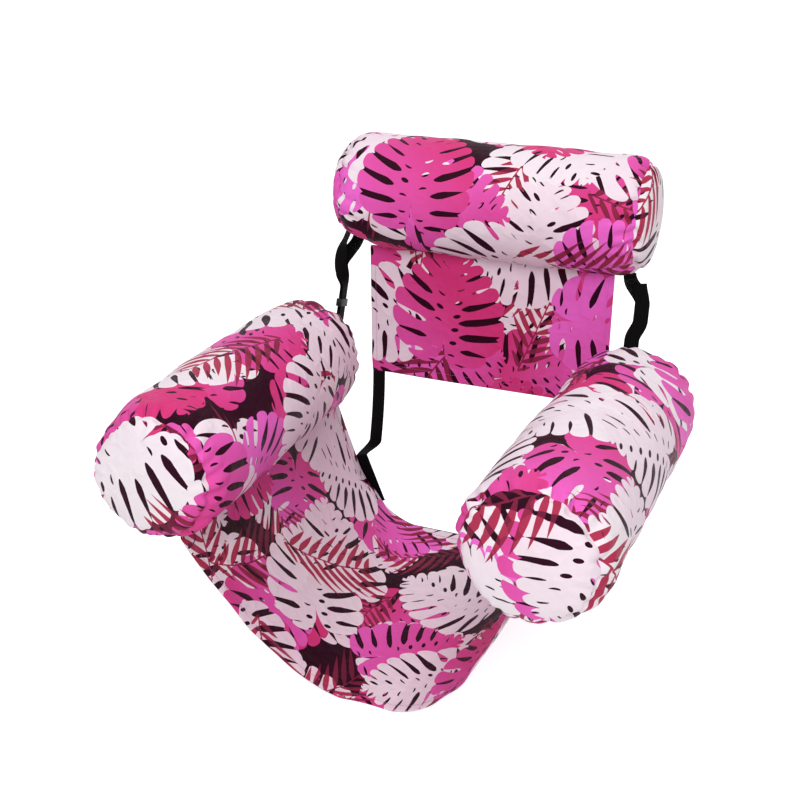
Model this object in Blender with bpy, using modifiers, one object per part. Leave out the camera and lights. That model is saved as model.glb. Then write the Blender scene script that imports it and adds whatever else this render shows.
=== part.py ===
"""Inflatable pool lounger with a headrest, two armrests and a cloth seat.

Metres, +Z up, the front towards -Y. The origin is the middle of the face that the seat rests on.
Three cloth-covered air tubes carry the chair. The seat hangs between the armrest tubes, and the back
panel hangs under the headrest tube. Black webbing joins the back to the seat's rear corners.
"""
import math

import bmesh
import bpy
from mathutils import Matrix
from mathutils import Vector

LEFT = -1
RIGHT = 1
SIDE_NAMES = {LEFT: "left", RIGHT: "right"}

# Cloth, webbing and the gaps between pieces
CLOTH = 0.0008
WEBBING = 0.0014
WEBBING_WIDTH = 0.025
GAP = 0.0003
SEW_GAP = 0.0006
HINGE_SEAM_GAP = 0.0007

# Armrest tubes, placed by the middle of their axes
ARM_RADIUS = 0.107
ARM_LENGTH = 0.598
ARM_HALF_SPACING = 0.289
ARM_Y = -0.085
ARM_Z = 0.393
ARM_RISE = math.radians(3.9)
ARM_TOE_IN = math.radians(2.2)
ARM_SEAM_ANGLE = math.radians(74.0)

# Headrest tube
HEADREST_RADIUS = 0.103
HEADREST_LENGTH = 0.568
HEADREST_Y = 0.350
HEADREST_Z = 0.645

# Sewn ends and the swell of every tube
SHOULDER = 0.045
END_SEAM_ANGLE = math.radians(37.0)
END_DOME = 0.006
PUCKER_DEPTH = 0.0025
CROWN = 0.002
TUBE_COLUMNS = 32
SLEEVE_ROW_SHARES = (0.0, 0.45, 0.8, 1.0)
END_RING_ANGLES = (math.radians(63.0), math.radians(90.0))
END_RING_PUCKER_SHARES = (0.5, 0.15)
DOME_RING_SHARE = 0.55
PUCKER_SHARES = {"straight end": 0.1, "half shoulder": 0.5, "seam": 1.0}

# Air bladders
BLADDER_WALL = 0.0005
BLADDER_CLEARANCE = 0.003
BLADDER_STEPS = 24
BLADDER_SEAT_RADIUS = 0.018

# Valves, each in the middle of a tube's end
VALVE_FLANGE_RADIUS = 0.015
VALVE_FLANGE = 0.001
VALVE_STEM_RADIUS = 0.0085
VALVE_STEM_HEIGHT = 0.010
VALVE_BORE_RADIUS = 0.0036
VALVE_TAIL = 0.008
VALVE_TAIL_RADIUS = 0.0052
VALVE_CLEARANCE = 0.0005
VALVE_LIP = 0.0012
VALVE_STEPS = 20
PLUG_HEAD_RADIUS = 0.0078
PLUG_HEAD = 0.0025
PLUG_SHAFT = 0.009
PLUG_KNOB_RADIUS = 0.0030
PLUG_KNOB = 0.003
PLUG_TAPER = 0.0004

# Seat cloth: hangs from the armrests' undersides down to the face it rests on
SEAT_FRONT_INSET = 0.040
SEAT_TAIL = 0.028
SEAT_BOTTOM_FRONT_Y = -0.256
SEAT_BOTTOM_REAR_Y = 0.252
SEAT_FRONT_CURVE = 2.25
SEAT_REAR_CURVE = 3.5
SEAT_FRONT_SWEEP = 2.0
SEAT_REAR_SWEEP = 6.0
REST_SINK = 0.0055
SEAT_FOLD = 0.003
SEAT_FOLD_WAVES = 2.5
SEAT_FOLD_SKEW = 0.6
SEAT_FOLD_START_SHARE = 0.35
SEAT_HALF_COLUMNS = 14
SEAT_COLUMN_CROWDING = 1.5
SEAT_MIDDLE_ROW_SHARES = (0.18, 0.34, 0.50, 0.66, 0.82)
STEP_SHARE = 0.02
HEM_WIDTH = 0.018
HEM_REACH_SHARE = 0.98
WEBBING_OVERHANG = 0.008

# Standing tab of webbing at each rear corner, and the straps' pivot in its middle
TAB_LIFT = 0.003
TAB_HEIGHT = 0.022
PIVOT_REACH = 0.010

# Back panel, hung under the headrest
PANEL_WIDTH = 0.456
PANEL_HEIGHT = 0.249
PANEL_FORWARD = 0.030
PANEL_CREASE = 0.004
PANEL_CREASE_WIDTH = 0.018
PANEL_CREASE_SHARE = -0.60
PANEL_WAVE = 0.003
PANEL_COLUMNS = 14
PANEL_ROWS = 6

# Upper straps: from the pivot, through the slider, up to the headrest
HEAD_STRAP_INSET = 0.016
HEAD_STRAP_FORWARD = 0.027
STRAP_TAIL_INSET = 0.026
STRAP_STRAIGHT = 0.020
STRAP_STEP = 0.010
TWIST_START_SHARES = {LEFT: 0.70, RIGHT: 0.17}
TWIST_END_SHARES = {LEFT: 0.87, RIGHT: 0.33}
SLIDER_SHARES = {LEFT: 0.60, RIGHT: 0.52}
LOOP_REACH = 0.034

# Sliders
SLIDER_BAR = 0.0024
SLIDER_WALL = 0.0020
SLIDER_SIDE = 0.0030
SLIDER_LENGTH = 0.014
SLIDER_CORNER = 0.0015

# Lower straps: from the back panel's bottom corners to the seat's rear webbing
LOWER_STRAP_OVERLAP = 0.020
LOWER_STRAP_EDGE = 0.0005
LOWER_STRAP_DROP = 0.125
LOWER_STRAP_BEND = 0.022
LOWER_STRAP_SEAT_SHARE = 0.84
LOWER_STRAP_STEPS = 5

COLORS = {
    "printed_cloth": (0.85, 0.25, 0.62, 1.0),
    "black_webbing": (0.015, 0.015, 0.017, 1.0),
    "bladder_vinyl": (0.80, 0.82, 0.84, 1.0),
    "valve_plastic": (0.86, 0.86, 0.84, 1.0),
    "slider_plastic": (0.02, 0.02, 0.02, 1.0),
}
ROUGHNESS = {
    "printed_cloth": 0.55,
    "black_webbing": 0.70,
    "bladder_vinyl": 0.35,
    "valve_plastic": 0.40,
    "slider_plastic": 0.35,
}


def lerp(start, end, share):
    """Value between start and end."""
    return start + (end - start) * share


def smooth(share):
    """Ease from 0 to 1 with level ends."""
    share = min(max(share, 0.0), 1.0)
    return share * share * (3.0 - 2.0 * share)


# Scene, materials and shared builders

def clear_scene():
    """Remove every object of the start-up scene."""
    for item in list(bpy.data.objects):
        bpy.data.objects.remove(item, do_unlink=True)


def make_collection(name):
    """New collection in the scene."""
    collection = bpy.data.collections.new(name)
    bpy.context.scene.collection.children.link(collection)
    return collection


def make_material(name):
    """Principled material with a piece's colour and roughness."""
    material = bpy.data.materials.new(name)
    material.use_nodes = True
    shader = material.node_tree.nodes["Principled BSDF"]
    shader.inputs["Base Color"].default_value = COLORS[name]
    shader.inputs["Roughness"].default_value = ROUGHNESS[name]
    return material


def add_object(name, mesh, material, place, carrier):
    """Put a mesh in the scene at its place, carried by an empty."""
    mesh.materials.append(MATERIALS[material])
    item = bpy.data.objects.new(name, mesh)
    PARTS.objects.link(item)
    if carrier is not None:
        item.parent = carrier
        item.matrix_parent_inverse = carrier.matrix_basis.inverted()
    item.matrix_basis = place
    return item


def add_hinge(name, place):
    """Empty on a joint's axis."""
    empty = bpy.data.objects.new(name, None)
    empty.matrix_basis = place
    PARTS.objects.link(empty)
    return empty


def thicken(item, thickness, offset):
    """Give an open surface its thickness."""
    solidify = item.modifiers.new("thickness", "SOLIDIFY")
    solidify.thickness = thickness
    solidify.offset = offset
    solidify.use_even_offset = True


def grid_mesh(name, rows, around=False, centre=None):
    """Mesh of rows of points; around joins each row's ends, and centre closes the last row."""
    mesh = bpy.data.meshes.new(name)
    shape = bmesh.new()
    grid = []
    for row in rows:
        grid.append([shape.verts.new(point) for point in row])
    count = len(rows[0])
    last = count if around else count - 1
    for low, high in zip(grid, grid[1:]):
        for column in range(last):
            following = (column + 1) % count
            shape.faces.new((low[column], low[following], high[following], high[column]))
    if centre is not None:
        middle = shape.verts.new(centre)
        rim = grid[-1]
        for column in range(last):
            shape.faces.new((rim[column], rim[(column + 1) % count], middle))
    shape.to_mesh(mesh)
    shape.free()
    mesh.shade_smooth()
    return mesh


def turned(name, profile, steps, material, place, carrier, closed=False):
    """Turned piece from a profile of (radius, height) that runs down its outer side."""
    mesh = bpy.data.meshes.new(name)
    points = [(radius, 0.0, height) for radius, height in profile]
    edges = [(index, index + 1) for index in range(len(points) - 1)]
    if closed:
        edges.append((len(points) - 1, 0))
    mesh.from_pydata(points, edges, [])
    item = add_object(name, mesh, material, place, carrier)
    screw = item.modifiers.new("turn", "SCREW")
    screw.steps = steps
    screw.render_steps = steps
    screw.use_merge_vertices = True
    screw.merge_threshold = GAP / 3
    screw.use_smooth_shade = False
    return item


def frame_matrix(origin, x_axis, z_axis):
    """Placement from an origin and two square axes."""
    y_axis = z_axis.cross(x_axis)
    turn = Matrix((x_axis, y_axis, z_axis)).transposed().to_4x4()
    return Matrix.Translation(origin) @ turn


# Places of the tubes

def arm_axis(side):
    """Direction of an armrest, from its front end to its rear end."""
    level = math.cos(ARM_RISE)
    return Vector((side * math.sin(ARM_TOE_IN) * level, math.cos(ARM_TOE_IN) * level, -math.sin(ARM_RISE)))


def arm_seam_direction(side):
    """Direction from an armrest's axis to its seam with the seat."""
    axis = arm_axis(side)
    inward = Vector((-side, 0.0, 0.0))
    inward = (inward - axis * inward.dot(axis)).normalized()
    down = Vector((0.0, 0.0, -1.0))
    down = (down - axis * down.dot(axis) - inward * down.dot(inward)).normalized()
    return inward * math.cos(ARM_SEAM_ANGLE) + down * math.sin(ARM_SEAM_ANGLE)


def arm_middle(side):
    """Middle of an armrest's axis."""
    return Vector((side * ARM_HALF_SPACING, ARM_Y, ARM_Z))


def hinge_point(side, along):
    """Point of the line on which an armrest folds; along is measured towards the rear."""
    reach = ARM_RADIUS + HINGE_SEAM_GAP
    return arm_middle(side) + arm_axis(side) * along + arm_seam_direction(side) * reach


def panel_seam_height():
    """Height of the headrest's surface above the panel's plane."""
    return HEADREST_Z - math.sqrt(HEADREST_RADIUS ** 2 - PANEL_FORWARD ** 2)


def headrest_seam_direction():
    """Direction from the headrest's axis to its seam with the back panel."""
    return Vector((0.0, -PANEL_FORWARD, panel_seam_height() - HEADREST_Z)).normalized()


# Air tubes: sleeve, end panels, bladder, valve and plug

def shoulder_point(radius, length, angle):
    """Distance along the axis and radius of the rounded shoulder at an angle."""
    straight = length / 2 - SHOULDER
    return straight + SHOULDER * math.sin(angle), radius - SHOULDER + SHOULDER * math.cos(angle)


def sleeve_radius(radius, length, along):
    """Radius of a tube's sleeve at a distance from its middle."""
    past = abs(along) - (length / 2 - SHOULDER)
    if past <= 0:
        return radius
    return radius - SHOULDER + math.sqrt(SHOULDER ** 2 - past ** 2)


def ring(radius, height, pucker_share, crown_share=0.0):
    """Ring of points round the axis, every second one drawn in, and swollen away from the seam."""
    points = []
    for column in range(TUBE_COLUMNS):
        angle = 2 * math.pi * column / TUBE_COLUMNS
        reach = radius - PUCKER_DEPTH * pucker_share * (column % 2)
        reach += CROWN * crown_share * (1 - math.cos(angle)) / 2
        points.append((reach * math.cos(angle), reach * math.sin(angle), height))
    return points


def sleeve_half(radius, length):
    """Rings of half a sleeve, from its middle to its end seam: height, radius, pucker, crown."""
    straight = length / 2 - SHOULDER
    rings = []
    for share in SLEEVE_ROW_SHARES:
        pucker = PUCKER_SHARES["straight end"] if share == 1.0 else 0.0
        rings.append((straight * share, radius, pucker, 1 - share * share))
    half_height, half_radius = shoulder_point(radius, length, END_SEAM_ANGLE / 2)
    rings.append((half_height, half_radius, PUCKER_SHARES["half shoulder"], 0.0))
    seam_height, seam_radius = shoulder_point(radius, length, END_SEAM_ANGLE)
    rings.append((seam_height, seam_radius, PUCKER_SHARES["seam"], 0.0))
    return rings


def make_sleeve(name, radius, length, place, carrier):
    """Cloth sleeve of a tube."""
    half = sleeve_half(radius, length)
    rows = [ring(r, -height, pucker, crown) for height, r, pucker, crown in reversed(half[1:])]
    rows += [ring(r, height, pucker, crown) for height, r, pucker, crown in half]
    item = add_object(name, grid_mesh(name, rows, around=True), "printed_cloth", place, carrier)
    thicken(item, CLOTH, -1.0)


def dome_height(radius, length, at_radius):
    """Height of an end panel's swell at a distance from the axis."""
    return length / 2 + END_DOME * (1 - (at_radius / (radius - SHOULDER)) ** 2)


def make_end_panel(name, radius, length, end, valve, place, carrier):
    """Round cloth panel sewn into a tube's end, with a hole where it holds the valve."""
    height, rim = shoulder_point(radius, length, END_SEAM_ANGLE)
    height += SEW_GAP * math.cos(END_SEAM_ANGLE)
    rim -= SEW_GAP * math.sin(END_SEAM_ANGLE)
    rings = [(height, rim, PUCKER_SHARES["seam"])]
    for angle, pucker in zip(END_RING_ANGLES, END_RING_PUCKER_SHARES):
        rings.append(shoulder_point(radius, length, angle) + (pucker,))
    dome_radius = (radius - SHOULDER) * DOME_RING_SHARE
    rings.append((dome_height(radius, length, dome_radius), dome_radius, 0.0))
    centre = None
    if valve:
        hole = VALVE_STEM_RADIUS + VALVE_CLEARANCE
        rings.append((dome_height(radius, length, hole), hole, 0.0))
    else:
        centre = (0.0, 0.0, end * dome_height(radius, length, 0.0))
    rows = [ring(r, end * h, pucker) for h, r, pucker in rings]
    if end < 0:
        rows = [list(reversed(row)) for row in rows]
    item = add_object(name, grid_mesh(name, rows, True, centre), "printed_cloth", place, carrier)
    thicken(item, CLOTH, -1.0)


def flange_top(radius, length):
    """Height of the valve flange's outer face, just under the end panel."""
    dome_radius = (radius - SHOULDER) * DOME_RING_SHARE
    hole = VALVE_STEM_RADIUS + VALVE_CLEARANCE
    share = (VALVE_FLANGE_RADIUS - hole) / (dome_radius - hole)
    cloth_outside = lerp(dome_height(radius, length, hole), dome_height(radius, length, dome_radius), share)
    return cloth_outside - CLOTH - SEW_GAP


def make_bladder(name, radius, length, place, carrier):
    """Air bladder inside the sleeve, open at the valve."""
    clear = CLOTH + PUCKER_DEPTH + BLADDER_CLEARANCE
    seat = flange_top(radius, length) - VALVE_FLANGE - GAP
    corner = SHOULDER - clear
    straight = length / 2 - SHOULDER
    inner = radius - SHOULDER
    hole = VALVE_TAIL_RADIUS + VALVE_CLEARANCE
    profile = [(hole, seat), (BLADDER_SEAT_RADIUS, seat)]
    profile.append((inner, straight + corner))
    for angle in (math.radians(45.0), 0.0):
        profile.append((inner + corner * math.cos(angle), straight + corner * math.sin(angle)))
    for angle in (0.0, math.radians(45.0), math.radians(90.0)):
        profile.append((inner + corner * math.cos(angle), -straight - corner * math.sin(angle)))
    profile.append((0.0, -straight - corner))
    item = turned(name, profile, BLADDER_STEPS, "bladder_vinyl", place, carrier)
    thicken(item, BLADDER_WALL, -1.0)


def make_valve(name, radius, length, place, carrier):
    """Valve body: flange on the bladder, tail inside it and stem out through the end panel."""
    top = flange_top(radius, length)
    mouth = top + VALVE_STEM_HEIGHT
    profile = [
        (VALVE_BORE_RADIUS, mouth),
        (VALVE_STEM_RADIUS - VALVE_LIP, mouth),
        (VALVE_STEM_RADIUS, mouth - VALVE_LIP),
        (VALVE_STEM_RADIUS, top),
        (VALVE_FLANGE_RADIUS, top),
        (VALVE_FLANGE_RADIUS, top - VALVE_FLANGE),
        (VALVE_TAIL_RADIUS, top - VALVE_FLANGE),
        (VALVE_TAIL_RADIUS, top - VALVE_FLANGE - VALVE_TAIL),
        (VALVE_BORE_RADIUS, top - VALVE_FLANGE - VALVE_TAIL),
    ]
    turned(name, profile, VALVE_STEPS, "valve_plastic", place, carrier, closed=True)


def make_plug(name, radius, length, place, carrier):
    """Valve plug: head on the stem, shaft in its bore and a small knob to pull."""
    seat = flange_top(radius, length) + VALVE_STEM_HEIGHT + GAP
    shaft = VALVE_BORE_RADIUS - GAP
    profile = [
        (0.0, PLUG_HEAD + PLUG_KNOB),
        (PLUG_KNOB_RADIUS, PLUG_HEAD + PLUG_KNOB),
        (PLUG_KNOB_RADIUS, PLUG_HEAD),
        (PLUG_HEAD_RADIUS, PLUG_HEAD),
        (PLUG_HEAD_RADIUS, 0.0),
        (shaft, 0.0),
        (shaft - PLUG_TAPER, -PLUG_SHAFT),
        (0.0, -PLUG_SHAFT),
    ]
    here = place @ Matrix.Translation((0.0, 0.0, seat))
    turned(name, profile, VALVE_STEPS, "valve_plastic", here, carrier)


def make_tube(name, radius, length, ends, place, carrier):
    """All pieces of one air tube; ends names the end with the valve first."""
    make_sleeve(name + "_sleeve", radius, length, place, carrier)
    make_end_panel(f"{name}_{ends[0]}_end", radius, length, 1, True, place, carrier)
    make_end_panel(f"{name}_{ends[1]}_end", radius, length, -1, False, place, carrier)
    make_bladder(name + "_bladder", radius, length, place, carrier)
    make_valve(name + "_valve", radius, length, place, carrier)
    make_plug(name + "_valve_plug", radius, length, place, carrier)


# Seat: cloth, front hem and rear webbing

def seat_front():
    """Distance of the seat's front corners from the armrest's middle, along its axis."""
    return -(ARM_LENGTH / 2 - SEAT_FRONT_INSET)


def seat_rear():
    """Distance of the seat's rear corners from the armrest's middle, along its axis."""
    return ARM_LENGTH / 2 + SEAT_TAIL


def seat_depth():
    """Length of the seat cloth along an armrest."""
    return seat_rear() - seat_front()


def seat_rise(along):
    """Lift of the seat cloth over its hem and its rear webbing."""
    hem = HEM_WIDTH / seat_depth()
    band = 1 - (WEBBING_WIDTH - WEBBING_OVERHANG) / seat_depth()
    if along <= hem + STEP_SHARE:
        return (CLOTH + GAP) * (1 - smooth((along - hem) / STEP_SHARE))
    return (WEBBING + GAP) * smooth((along - band + STEP_SHARE) / STEP_SHARE)


def seat_fold(share, along):
    """Depth of the soft folds in the seat's sides."""
    reach = (share - SEAT_FOLD_START_SHARE) / (1 - SEAT_FOLD_START_SHARE)
    if reach <= 0 or reach >= 1:
        return 0.0
    window = math.sin(math.pi * reach) ** 2
    phase = SEAT_FOLD_WAVES * reach + SEAT_FOLD_SKEW * along
    return SEAT_FOLD * window * math.sin(2 * math.pi * phase)


def seat_point(across, along):
    """Middle of the seat cloth, from left (-1) to right (1) and from front (0) to rear (1)."""
    side = RIGHT if across >= 0 else LEFT
    share = abs(across)
    edge = hinge_point(side, lerp(seat_front(), seat_rear(), along))
    bottom_y = lerp(SEAT_BOTTOM_FRONT_Y, SEAT_BOTTOM_REAR_Y, along)
    curve = lerp(SEAT_FRONT_CURVE, SEAT_REAR_CURVE, along)
    sweep = lerp(SEAT_FRONT_SWEEP, SEAT_REAR_SWEEP, along)
    base = CLOTH / 2 + seat_rise(along) * (1 - share ** SEAT_REAR_SWEEP)
    flat = REST_SINK / edge.z
    climb = max(share ** curve - flat, 0.0) / (1 - flat)
    x = edge.x * share + side * seat_fold(share, along)
    y = bottom_y + (edge.y - bottom_y) * share ** sweep
    return Vector((x, y, base + (edge.z - base) * climb))


def seat_normal(across, along):
    """Outward direction of the seat cloth."""
    step = STEP_SHARE / 4
    here = min(max(across, -1 + step), 1 - step)
    over = seat_point(here + step, along) - seat_point(here - step, along)
    back = seat_point(here, along + step) - seat_point(here, along - step)
    return back.cross(over).normalized()


def seat_columns(reach=1.0):
    """Places across the seat, closer together where it is steep."""
    half = []
    for index in range(SEAT_HALF_COLUMNS + 1):
        share = 1 - (1 - index / SEAT_HALF_COLUMNS) ** SEAT_COLUMN_CROWDING
        half.append(min(share, reach))
    return [-share for share in reversed(half[1:])] + half


def make_seat_cloth():
    """Cloth sling between the armrests."""
    hem = HEM_WIDTH / seat_depth()
    band = 1 - (WEBBING_WIDTH - WEBBING_OVERHANG) / seat_depth()
    places = [0.0, hem, hem + STEP_SHARE]
    places += SEAT_MIDDLE_ROW_SHARES
    places += [band - STEP_SHARE, band, 1.0]
    rows = [[seat_point(across, along) for across in seat_columns()] for along in places]
    item = add_object("seat_sling", grid_mesh("seat_sling", rows), "printed_cloth", Matrix(), None)
    thicken(item, CLOTH, 0.0)


def strip_row(columns, along, offset):
    """Row of points outside the seat cloth, at an offset from its middle."""
    return [seat_point(across, along) + seat_normal(across, along) * offset for across in columns]


def make_front_hem():
    """Turned-under edge of the seat cloth at its front."""
    columns = seat_columns(HEM_REACH_SHARE)
    offset = CLOTH + GAP
    rows = [strip_row(columns, along, offset) for along in (0.0, HEM_WIDTH / seat_depth())]
    item = add_object("seat_front_hem", grid_mesh("seat_front_hem", rows), "printed_cloth", Matrix(), None)
    thicken(item, CLOTH, 0.0)


def webbing_rows():
    """The rear webbing's two long edges, from the left tab's top to the right tab's top."""
    columns = seat_columns()
    front = 1 - (WEBBING_WIDTH - WEBBING_OVERHANG) / seat_depth()
    rear = front + WEBBING_WIDTH / seat_depth()
    offset = CLOTH / 2 + GAP + WEBBING / 2
    rows = [strip_row(columns, along, offset) for along in (front, rear)]
    for row in rows:
        for end, side in ((0, LEFT), (-1, RIGHT)):
            corner = row[end]
            foot = Vector((tab_x(side), corner.y, tab_foot()))
            top = foot + Vector((0.0, 0.0, TAB_HEIGHT))
            if side == LEFT:
                row[0:0] = [top, foot]
            else:
                row += [foot, top]
    return rows


def tab_x(side):
    """Middle of a corner tab's thickness."""
    corner = hinge_point(side, seat_rear() + WEBBING_OVERHANG)
    return corner.x + side * (CLOTH / 2 + GAP + WEBBING)


def tab_foot():
    """Height at which the corner tabs start to stand upright."""
    return hinge_point(RIGHT, seat_rear()).z + TAB_LIFT


def make_rear_webbing():
    """Webbing under the seat's rear edge, with a standing tab at each corner."""
    mesh = grid_mesh("seat_rear_webbing", webbing_rows())
    item = add_object("seat_rear_webbing", mesh, "black_webbing", Matrix(), None)
    thicken(item, WEBBING, 0.0)


# Back panel

def panel_crease(share, down):
    """Forward swell of the back panel: one pressed crease and a slow wave."""
    window = math.sin(math.pi * down)
    distance = (share - PANEL_CREASE_SHARE) * PANEL_WIDTH / 2
    crease = PANEL_CREASE * math.exp(-(distance / PANEL_CREASE_WIDTH) ** 2) * (1 - down)
    wave = PANEL_WAVE * math.sin(math.pi * share)
    return (crease + wave) * window


def make_back_panel(carrier):
    """Cloth panel sewn under the headrest."""
    top = panel_seam_height() - SEW_GAP
    rows = []
    for row in range(PANEL_ROWS + 1):
        down = row / PANEL_ROWS
        points = []
        for column in range(PANEL_COLUMNS + 1):
            share = 2 * column / PANEL_COLUMNS - 1
            y = HEADREST_Y - PANEL_FORWARD - panel_crease(share, down)
            points.append(Vector((share * PANEL_WIDTH / 2, y, top - PANEL_HEIGHT * down)))
        rows.append(points)
    item = add_object("back_panel", grid_mesh("back_panel", rows), "printed_cloth", Matrix(), carrier)
    thicken(item, CLOTH, 0.0)


# Upper straps and sliders

def pivot(side):
    """Point in the corner tab about which the back reclines, in the middle of the strap."""
    front = webbing_rows()[0]
    rear = webbing_rows()[1]
    end = 0 if side == LEFT else -1
    y = (front[end].y + rear[end].y) / 2
    return Vector((tab_x(side) + side * (WEBBING + GAP), y, tab_foot() + TAB_HEIGHT / 2))


def strap_separation():
    """Distance between the middles of the two webbings in a slider."""
    return WEBBING + SLIDER_BAR + 2 * GAP


def headrest_anchor(side):
    """Point of the headrest's underside at which an upper strap is sewn."""
    x = side * (HEADREST_LENGTH / 2 - HEAD_STRAP_INSET)
    reach = sleeve_radius(HEADREST_RADIUS, HEADREST_LENGTH, abs(x) - WEBBING_WIDTH / 2)
    z = HEADREST_Z - math.sqrt(reach ** 2 - HEAD_STRAP_FORWARD ** 2)
    return Vector((x, HEADREST_Y - HEAD_STRAP_FORWARD, z))


class StrapPath:
    """Straight path of one upper strap, with the frame of its webbing."""

    def __init__(self, side):
        self.side = side
        self.start = pivot(side)
        self.end = headrest_anchor(side)
        level = self.end - self.start
        level.x = 0.0
        self.length = level.length
        self.upright = level.normalized()
        lean = (self.end.x - self.start.x) / (self.length - STRAP_STRAIGHT)
        self.leaning = (self.upright + Vector((lean, 0.0, 0.0))).normalized()
        self.lean = lean

    def point(self, distance):
        """Middle of the long strap at a distance above the pivot."""
        aside = self.lean * max(distance - STRAP_STRAIGHT, 0.0)
        return self.start + self.upright * distance + Vector((aside, 0.0, 0.0))

    def direction(self, distance):
        """Direction of the strap."""
        return self.leaning if distance > STRAP_STRAIGHT else self.upright

    def width_direction(self, distance):
        """Direction of the webbing's width, turning from fore-and-aft to sideways."""
        start = TWIST_START_SHARES[self.side] * self.length
        end = TWIST_END_SHARES[self.side] * self.length
        angle = math.radians(90.0) * smooth((distance - start) / (end - start))
        run = self.direction(distance)
        sideways = Vector((self.side, 0.0, 0.0))
        sideways = (sideways - run * sideways.dot(run)).normalized()
        forward = run.cross(sideways) * -self.side
        return forward * math.cos(angle) + sideways * math.sin(angle)

    def face_direction(self, distance):
        """Direction square to the webbing, towards the headrest strap."""
        return self.direction(distance).cross(self.width_direction(distance)) * self.side

    def rows(self, low, high, offset):
        """Two long edges of webbing between two distances above the pivot."""
        count = max(2, math.ceil((high - low) / STRAP_STEP))
        edges = ([], [])
        for index in range(count + 1):
            distance = lerp(low, high, index / count)
            middle = self.point(distance) + self.face_direction(distance) * offset
            half = self.width_direction(distance) * WEBBING_WIDTH / 2
            edges[0].append(middle - half)
            edges[1].append(middle + half)
        return edges


def headrest_strap_top(path):
    """Distance above the pivot at which the headrest strap meets the headrest."""
    inner = abs(path.end.x) - WEBBING_WIDTH / 2
    drawn_in = PUCKER_DEPTH * PUCKER_SHARES["half shoulder"]
    reach = sleeve_radius(HEADREST_RADIUS, HEADREST_LENGTH, inner) - drawn_in + GAP
    offset = path.face_direction(path.length) * strap_separation()
    from_axis = path.start + offset - Vector((path.start.x, HEADREST_Y, HEADREST_Z))
    from_axis.x = 0.0
    half = from_axis.dot(path.upright)
    rest = from_axis.length_squared - reach ** 2
    return -half - math.sqrt(half ** 2 - rest)


def make_upper_straps(side, carrier):
    """Long strap with its tail, headrest strap and slider of one side."""
    path = StrapPath(side)
    name = SIDE_NAMES[side]
    slider_at = SLIDER_SHARES[side] * path.length
    long_rows = path.rows(-PIVOT_REACH, path.length - STRAP_TAIL_INSET, 0.0)
    short_rows = path.rows(slider_at - LOOP_REACH, headrest_strap_top(path), strap_separation())
    for label, rows in (("upper_strap", long_rows), ("headrest_strap", short_rows)):
        full = f"{name}_{label}"
        item = add_object(full, grid_mesh(full, rows), "black_webbing", Matrix(), carrier)
        thicken(item, WEBBING, 0.0)
    make_slider(path, slider_at, f"{name}_strap_slider", carrier)


def rounded_outline(curve, half_x, half_y, corner, steps):
    """Closed outline with round corners, added to a flat curve."""
    points = []
    for quarter in range(4):
        turn = math.radians(90.0) * quarter
        centre_x = (half_x - corner) * (1 if quarter in (0, 3) else -1)
        centre_y = (half_y - corner) * (1 if quarter in (0, 1) else -1)
        for step in range(steps + 1):
            angle = turn + math.radians(90.0) * step / steps
            points.append((centre_x + corner * math.cos(angle), centre_y + corner * math.sin(angle)))
    return add_outline(curve, points)


def add_outline(curve, points):
    """Closed straight-sided outline, added to a flat curve."""
    spline = curve.splines.new("POLY")
    spline.points.add(len(points) - 1)
    for target, (x, y) in zip(spline.points, points):
        target.co = (x, y, 0.0, 1.0)
    spline.use_cyclic_u = True
    return spline


def make_slider(path, distance, name, carrier):
    """Strap slider: a frame with one slot each side of its middle bar."""
    slot = WEBBING + 2 * GAP
    half_x = WEBBING_WIDTH / 2 + GAP + SLIDER_SIDE
    half_y = SLIDER_BAR / 2 + slot + SLIDER_WALL
    curve = bpy.data.curves.new(name, "CURVE")
    curve.dimensions = "2D"
    curve.fill_mode = "BOTH"
    curve.extrude = SLIDER_LENGTH / 2
    rounded_outline(curve, half_x, half_y, SLIDER_CORNER, 3)
    for sign in (-1, 1):
        low = sign * SLIDER_BAR / 2
        high = sign * (SLIDER_BAR / 2 + slot)
        half = WEBBING_WIDTH / 2 + GAP
        add_outline(curve, [(-half, low), (half, low), (half, high), (-half, high)])
    middle = path.point(distance) + path.face_direction(distance) * strap_separation() / 2
    place = frame_matrix(middle, path.width_direction(distance), path.direction(distance))
    curve.materials.append(MATERIALS["slider_plastic"])
    item = bpy.data.objects.new(name, curve)
    PARTS.objects.link(item)
    item.parent = carrier
    item.matrix_parent_inverse = carrier.matrix_basis.inverted()
    item.matrix_basis = place


# Lower straps

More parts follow.
